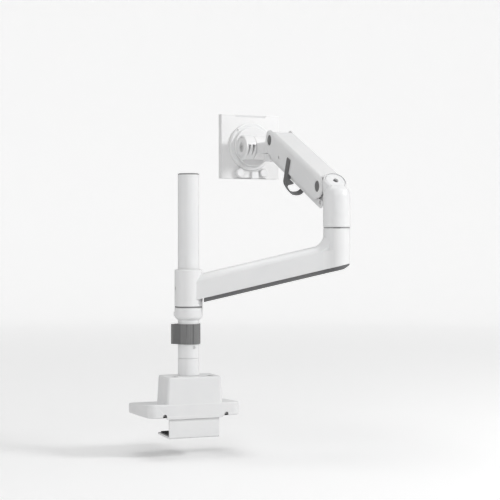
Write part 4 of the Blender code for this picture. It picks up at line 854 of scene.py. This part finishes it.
def make_plate():
    """The turning disc, the front release plate, the screen plate and their screws."""
    disc_near, disc_far = -6.8, -GAP
    disc = turned("rotation_disc", [(0, disc_far), (DISC_RADIUS, disc_far),
            (DISC_RADIUS, disc_near + 2.5), (DISC_RADIUS - 1.5, disc_near + 0.8),
            (DISC_RADIUS - 5.5, disc_near + 0.8), (DISC_RADIUS - 6.5, disc_near), (0, disc_near)],
            PLATE, "white_alloy", axis=Y_AXIS)
    cut(disc, tool_rod(5.4, -20, 20, PLATE, axis=Y_AXIS),
        tool_rod(2.6, -20, -3, PLATE, centre=(-30, 0, 31), axis=Y_AXIS))

    half, notch, dent = PLATE_HALF, 30.0, 4.5
    rim = [(-half, -half), (-notch - dent, -half), (-notch, -half + dent / 2),
           (notch, -half + dent / 2), (notch + dent, -half), (half, -half),
           (half, half), (notch + dent, half), (notch, half - dent), (-notch, half - dent),
           (-notch - dent, half), (-half, half)]
    holes = [circle((x, THUMB_Z), 3.4) for x in (-THUMB_X, THUMB_X)]
    outline("release_plate", [rim, circle((0, 0), 14, MID_ROUND)] + holes, 2.5, PLATE, "white_paint",
            lay=FRONT, centre=(0, 1.25, 0))
    box("release_tab", (1.0, -5.5, -60), (15.0, -GAP, -46.6), PLATE, "white_paint", bevel=1.2)

    back, sheet, lip = PLATE_DEPTH, 2.5, 2.5 + GAP
    tray = rounded([(-half, lip), (-half + sheet, lip), (-half + sheet, back - sheet),
            (half - sheet, back - sheet), (half - sheet, lip), (half, lip), (half, back),
            (-half, back)], [0, 0, 0, 0, 0, 0, 2, 2], 2)
    screen = outline("vesa_plate", [tray], 2 * half, PLATE, "white_paint")
    fixings = [circle((x * pitch, z * pitch), 2.3, 8) for pitch in (37.5, 50.0) for x in (-1, 1)
            for z in (-1, 1)]
    holes = outline("vesa_holes", [circle((0, 0), 20, MID_ROUND)] + fixings, 8.0, PLATE, None,
            lay=FRONT, centre=(0, back, 0))
    cut(screen, holes)
    for way in (-1, 1):
        post = turned(f"plate_post_{way}", [(5.0, back - 1), (5.0, lip), (3.2, lip),
                (3.2, back - 1)][::-1], PLATE, None, centre=(way * THUMB_X, 0, THUMB_Z),
                axis=Y_AXIS, steps=SMALL_ROUND)
        join(screen, post)
    turned("rotation_bolt", [(0, 8.5), (2.5, 8.5), (2.5, 10.6), (10.0, 10.6), (11.0, 9.6),
            (11.0, 3.2), (12.5, 3.2), (12.5, 0.1), (5.0, 0.1), (5.0, -11.2), (0, -11.2)], PLATE,
            "steel", axis=Y_AXIS, steps=MID_ROUND)
    for word, way in SIDES:
        spin = place((way * THUMB_X, 0, THUMB_Z), home=PLATE)
        turned(f"thumb_screw_{word}", [(0, -10), (6.6, -10), (7.9, -8.8), (7.9, -3.8), (6.8, -2.8),
                (4.6, -2.8), (4.6, -GAP), (2.9, -GAP), (2.9, 9.5), (0, 9.5)][::-1], spin,
                "white_plastic", axis=Y_AXIS, steps=MID_ROUND)


make_base()
make_pole()
make_clamp()
make_collar()
make_elbow(make_lower_arm())
make_spring_arm()
make_link()
make_head()
make_plate()


# -------------------- surfaces
EDGE_WEAR_AND_HIGHLIGHT = (0.54, 0.60)      # pointiness where edge wear and the painted edge highlight start and where they are full


def wire(tree, node, values=(), sources=()):
    """A shader node's inputs are filled in, and others are linked to their sources."""
    for socket, value in dict(values).items():
        node.inputs[socket].default_value = value
    for socket, source in dict(sources).items():
        tree.links.new(source, node.inputs[socket])
    return node


def make_node(tree, kind, values=(), sources=(), **settings):
    """A new shader node with its settings made and its inputs wired."""
    made = tree.nodes.new("ShaderNode" + kind)
    for name, setting in settings.items():
        setattr(made, name, setting)
    return wire(tree, made, values, sources)


def speckle(tree, scale, detail, low, high, squeeze=None):
    """A noise over the piece, spread between two values; a squeeze draws it out, as if brushed."""
    source = make_node(tree, "TexCoord").outputs["Object"]
    if squeeze is not None:
        source = make_node(tree, "Mapping", {"Scale": squeeze}, {"Vector": source}).outputs["Vector"]
    noise = make_node(tree, "TexNoise", {"Scale": scale, "Detail": detail}, {"Vector": source})
    span = make_node(tree, "MapRange", {"From Min": 0.3, "From Max": 0.7, "To Min": low, "To Max": high},
                {"Value": noise.outputs["Fac"]})
    return span.outputs["Result"]


def edges(tree, low, high):
    """1 on the piece's sharp edges and 0 elsewhere."""
    shape = make_node(tree, "NewGeometry").outputs["Pointiness"]
    return make_node(tree, "MapRange", {"From Min": low, "From Max": high},
                {"Value": shape}).outputs["Result"]


def surface(name, colour, other, rough, grain, depth, wear_and_highlight=None, metallic=0.0, coat=0.0,
            squeeze=None):
    """A material with mottled colour and gloss, a fine relief, and sharp edges lightened a little for
    wear and as a painted highlight.
    """
    material = bpy.data.materials.new(name)
    material.use_nodes = True
    tree = material.node_tree
    mottle = make_node(tree, "Mix", {6: (*colour, 1.0), 7: (*other, 1.0)},
                  {0: speckle(tree, 24.0, 3.0, 0.0, 1.0)}, data_type="RGBA").outputs[2]
    # Sharp edges are mixed towards a lighter colour: partly edge wear, partly a painted highlight for
    # the light that rounded edges catch.
    if wear_and_highlight is not None:
        mottle = make_node(tree, "Mix", {7: (*wear_and_highlight, 1.0)}, {0: edges(tree, *EDGE_WEAR_AND_HIGHLIGHT), 6: mottle},
                data_type="RGBA").outputs[2]
    if squeeze is None:
        gloss = speckle(tree, 60.0, 4.0, *rough)
    else:
        gloss = speckle(tree, grain, 2.0, *rough, squeeze)
    relief = speckle(tree, grain, 2.0, 0.0, 1.0, squeeze)
    bump = make_node(tree, "Bump", {"Strength": 0.35, "Distance": depth}, {"Height": relief})
    wire(tree, tree.nodes["Principled BSDF"],
         {"Metallic": metallic, "Coat Weight": coat, "Coat Roughness": 0.22},
         {"Base Color": mottle, "Roughness": gloss, "Normal": bump.outputs["Normal"]})
    return material


# The lighter edge colour in each look stands for edge wear and also paints an edge highlight.
LOOKS = {
    "white_paint": dict(colour=(0.80, 0.805, 0.81), other=(0.83, 0.83, 0.83), rough=(0.30, 0.40),
                        grain=900.0, depth=0.00006, wear_and_highlight=(0.85, 0.85, 0.85), coat=0.15),
    "white_alloy": dict(colour=(0.80, 0.805, 0.81), other=(0.83, 0.83, 0.83), rough=(0.32, 0.42),
                        grain=700.0, depth=0.00008, wear_and_highlight=(0.85, 0.85, 0.85), coat=0.15),
    "white_plastic": dict(colour=(0.78, 0.785, 0.79), other=(0.81, 0.81, 0.81), rough=(0.40, 0.52),
                          grain=1600.0, depth=0.00006, wear_and_highlight=(0.84, 0.84, 0.84)),
    "dark_plastic": dict(colour=(0.125, 0.127, 0.13), other=(0.15, 0.15, 0.15), rough=(0.42, 0.55),
                         grain=1800.0, depth=0.00008, wear_and_highlight=(0.22, 0.22, 0.22)),
    "rubber": dict(colour=(0.03, 0.03, 0.03), other=(0.045, 0.045, 0.045), rough=(0.75, 0.9),
                   grain=1400.0, depth=0.00012, wear_and_highlight=(0.07, 0.07, 0.07)),
    "chrome": dict(colour=(0.78, 0.78, 0.79), other=(0.82, 0.82, 0.82), rough=(0.07, 0.14),
                   grain=300.0, depth=0.00002, metallic=1.0),
    "steel": dict(colour=(0.50, 0.50, 0.51), other=(0.58, 0.58, 0.58), rough=(0.24, 0.38),
                  grain=500.0, depth=0.00003, wear_and_highlight=(0.72, 0.72, 0.72), metallic=1.0,
                  squeeze=(1.0, 1.0, 0.15)),
}
SURFACES = {slot: surface(slot + "_look", **look) for slot, look in LOOKS.items()}


# -------------------- baking and riding
SOFTENED = {"base_cover": 0.5, "base_plate": 0.4, "clamp_bracket": 0.4, "pole": 0.3,
            "post_ring": 0.3, "pole_clip": 0.3, "elbow_housing": 0.5, "spring_arm_shell": 0.5,
            "lower_link": 0.4, "head_bracket": 0.5, "head_knuckle": 0.5, "tilt_bracket": 0.5,
            "rotation_disc": 0.3}     # nodes whose last edges are eased too, and by how much (mm)
SOFTEN_ABOVE = 50              # degrees: only sharper edges are eased
SMOOTH_BELOW = 32              # degrees: flatter edges are shaded smooth
MERGE = 0.000002               # metres: closer points are one


def bake(node, piece):
    """Apply every modifier, put the mesh in the row's frame and hand the piece to its body."""
    slot = piece["slot"]
    if node in SOFTENED:
        round_edges(piece, SOFTENED[node], segments=2, angle=SOFTEN_ABOVE)
    graph = bpy.context.evaluated_depsgraph_get()
    mesh = bpy.data.meshes.new_from_object(piece.evaluated_get(graph))
    mesh.transform(piece.matrix_basis)
    piece.modifiers.clear()
    piece.data = mesh
    piece.matrix_basis = Matrix.Identity(4)
    clean = bmesh.new()
    clean.from_mesh(mesh)
    bmesh.ops.remove_doubles(clean, verts=clean.verts, dist=MERGE)
    bmesh.ops.dissolve_degenerate(clean, edges=clean.edges, dist=MERGE / 2)
    bmesh.ops.recalc_face_normals(clean, faces=clean.faces)
    clean.to_mesh(mesh)
    clean.free()
    mesh.shade_smooth()
    mesh.set_sharp_from_angle(angle=math.radians(SMOOTH_BELOW))
    mesh.materials.clear()
    mesh.materials.append(SURFACES[slot])
    weighted = piece.modifiers.new("even", "WEIGHTED_NORMAL")
    weighted.keep_sharp = True
    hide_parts(node)
    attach(piece, BODY_OF[node])


BODY_OF = {node: body for body, nodes in frame["record"]["behaviour"]["bodies"].items()
           for node in nodes}
SLOT_OF = {part["node"]: part["material_slot"] for part in frame["record"]["subparts"]}
for node, piece in PIECES.items():
    bake(node, piece)
for tool in SPARE:
    bpy.data.objects.remove(tool, do_unlink=True)
for node, cad in frame["nodes"].items():
    cad.data.materials.clear()
    cad.data.materials.append(SURFACES[SLOT_OF[node]])


# -------------------- studio and camera
FLOOR_REACH, WALL_HEIGHT = 3.2, 3.5           # metres to the floor's curve, and the wall above
PAPER_LIFT = (0.4, 3.4, 0.17, 0.48)           # glow of the paper from near to far, in metres
JAW_TRAVEL = 0.032                            # room below for the clamp jaw to open
SKY_STRENGTH = 0.46


def studio_paper():
    """Matt white paper that glows a little to the camera, more so further off."""
    paper = bpy.data.materials.new("studio_paper")
    paper.use_nodes = True
    tree = paper.node_tree
    spot = make_node(tree, "NewGeometry").outputs["Position"]
    reach = make_node(tree, "VectorMath", (), {0: spot}, operation="LENGTH")
    fade = make_node(tree, "MapRange", zip(("From Min", "From Max", "To Min", "To Max"), PAPER_LIFT),
                {"Value": reach.outputs["Value"]})
    seen = make_node(tree, "LightPath").outputs["Is Camera Ray"]
    glow = make_node(tree, "Math", (), {0: seen, 1: fade.outputs["Result"]}, operation="MULTIPLY")
    wire(tree, tree.nodes["Principled BSDF"],
         {"Base Color": (0.80, 0.80, 0.80, 1.0), "Roughness": 0.95, "Specular IOR Level": 0.0,
          "Emission Color": (1.0, 1.0, 1.0, 1.0)}, {"Emission Strength": glow.outputs[0]})
    return paper


def studio(level):
    """A pale floor that curves up all round into a low wall."""
    profile = [(0.0, level), (1.5, level), (FLOOR_REACH, level)]
    profile += [(FLOOR_REACH + math.sin(math.radians(a)), level + 1 - math.cos(math.radians(a)))
                for a in range(6, 91, 6)]
    profile += [(FLOOR_REACH + 1, level + WALL_HEIGHT)]
    lines = bmesh.new()
    points = [lines.verts.new((radius, 0, height)) for radius, height in profile]
    for first, second in zip(points, points[1:]):
        lines.edges.new((first, second))
    bmesh.ops.spin(lines, geom=lines.verts[:] + lines.edges[:], axis=Z_AXIS, cent=(0, 0, 0),
            angle=math.radians(360), steps=96)
    bmesh.ops.remove_doubles(lines, verts=lines.verts, dist=0.0001)
    bmesh.ops.recalc_face_normals(lines, faces=lines.faces)
    mesh = finished("studio_floor", lines)
    mesh.shade_smooth()
    floor = bpy.data.objects.new("studio_floor", mesh)
    into_scene(floor)
    mesh.materials.append(studio_paper())
    floor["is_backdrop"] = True


def area_light(name, place_at, aim, size, power):
    """A round lamp at a point in metres, aimed at another, with its size and its watts."""
    light = bpy.data.lights.new(name, "AREA")
    light.shape = "DISK"
    light.size = size
    light.energy = power
    lamp = bpy.data.objects.new(name, light)
    lamp.location = place_at
    heading = Vector(aim) - Vector(place_at)
    lamp.rotation_euler = heading.to_track_quat("-Z", "Y").to_euler()
    into_scene(lamp)


studio(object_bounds()[0].z - JAW_TRAVEL)
for light_row in (("key_light", (1.85, -1.30, 1.30), (0.1, 0.05, 0.3), 0.7, 31.0),
                  ("front_light", (-0.9, -2.3, 1.4), (0.1, 0.05, 0.3), 0.9, 12.5),
                  ("top_light", (-0.2, 0.5, 2.5), (0.1, 0.1, 0.3), 1.4, 12.0),
                  ("fill_light", (-2.2, -0.6, 0.6), (0.1, 0.05, 0.3), 1.6, 5.5)):
    area_light(*light_row)

world = bpy.data.worlds.new("studio_world")
world.use_nodes = True
wire(world.node_tree, world.node_tree.nodes["Background"],
     {"Color": (1.0, 1.0, 1.0, 1.0), "Strength": SKY_STRENGTH})
bpy.context.scene.world = world
bpy.context.scene.view_settings.view_transform = "Standard"

camera_data = bpy.data.cameras.new("camera")
camera_data.lens = 100.0
camera_data.sensor_width = 36.0
camera = bpy.data.objects.new("camera", camera_data)
camera.location = (-0.722, -2.162, 0.300)
camera.rotation_euler = (math.radians(89.262), 0.0, math.radians(-21.0))
into_scene(camera)
bpy.context.scene.camera = camera
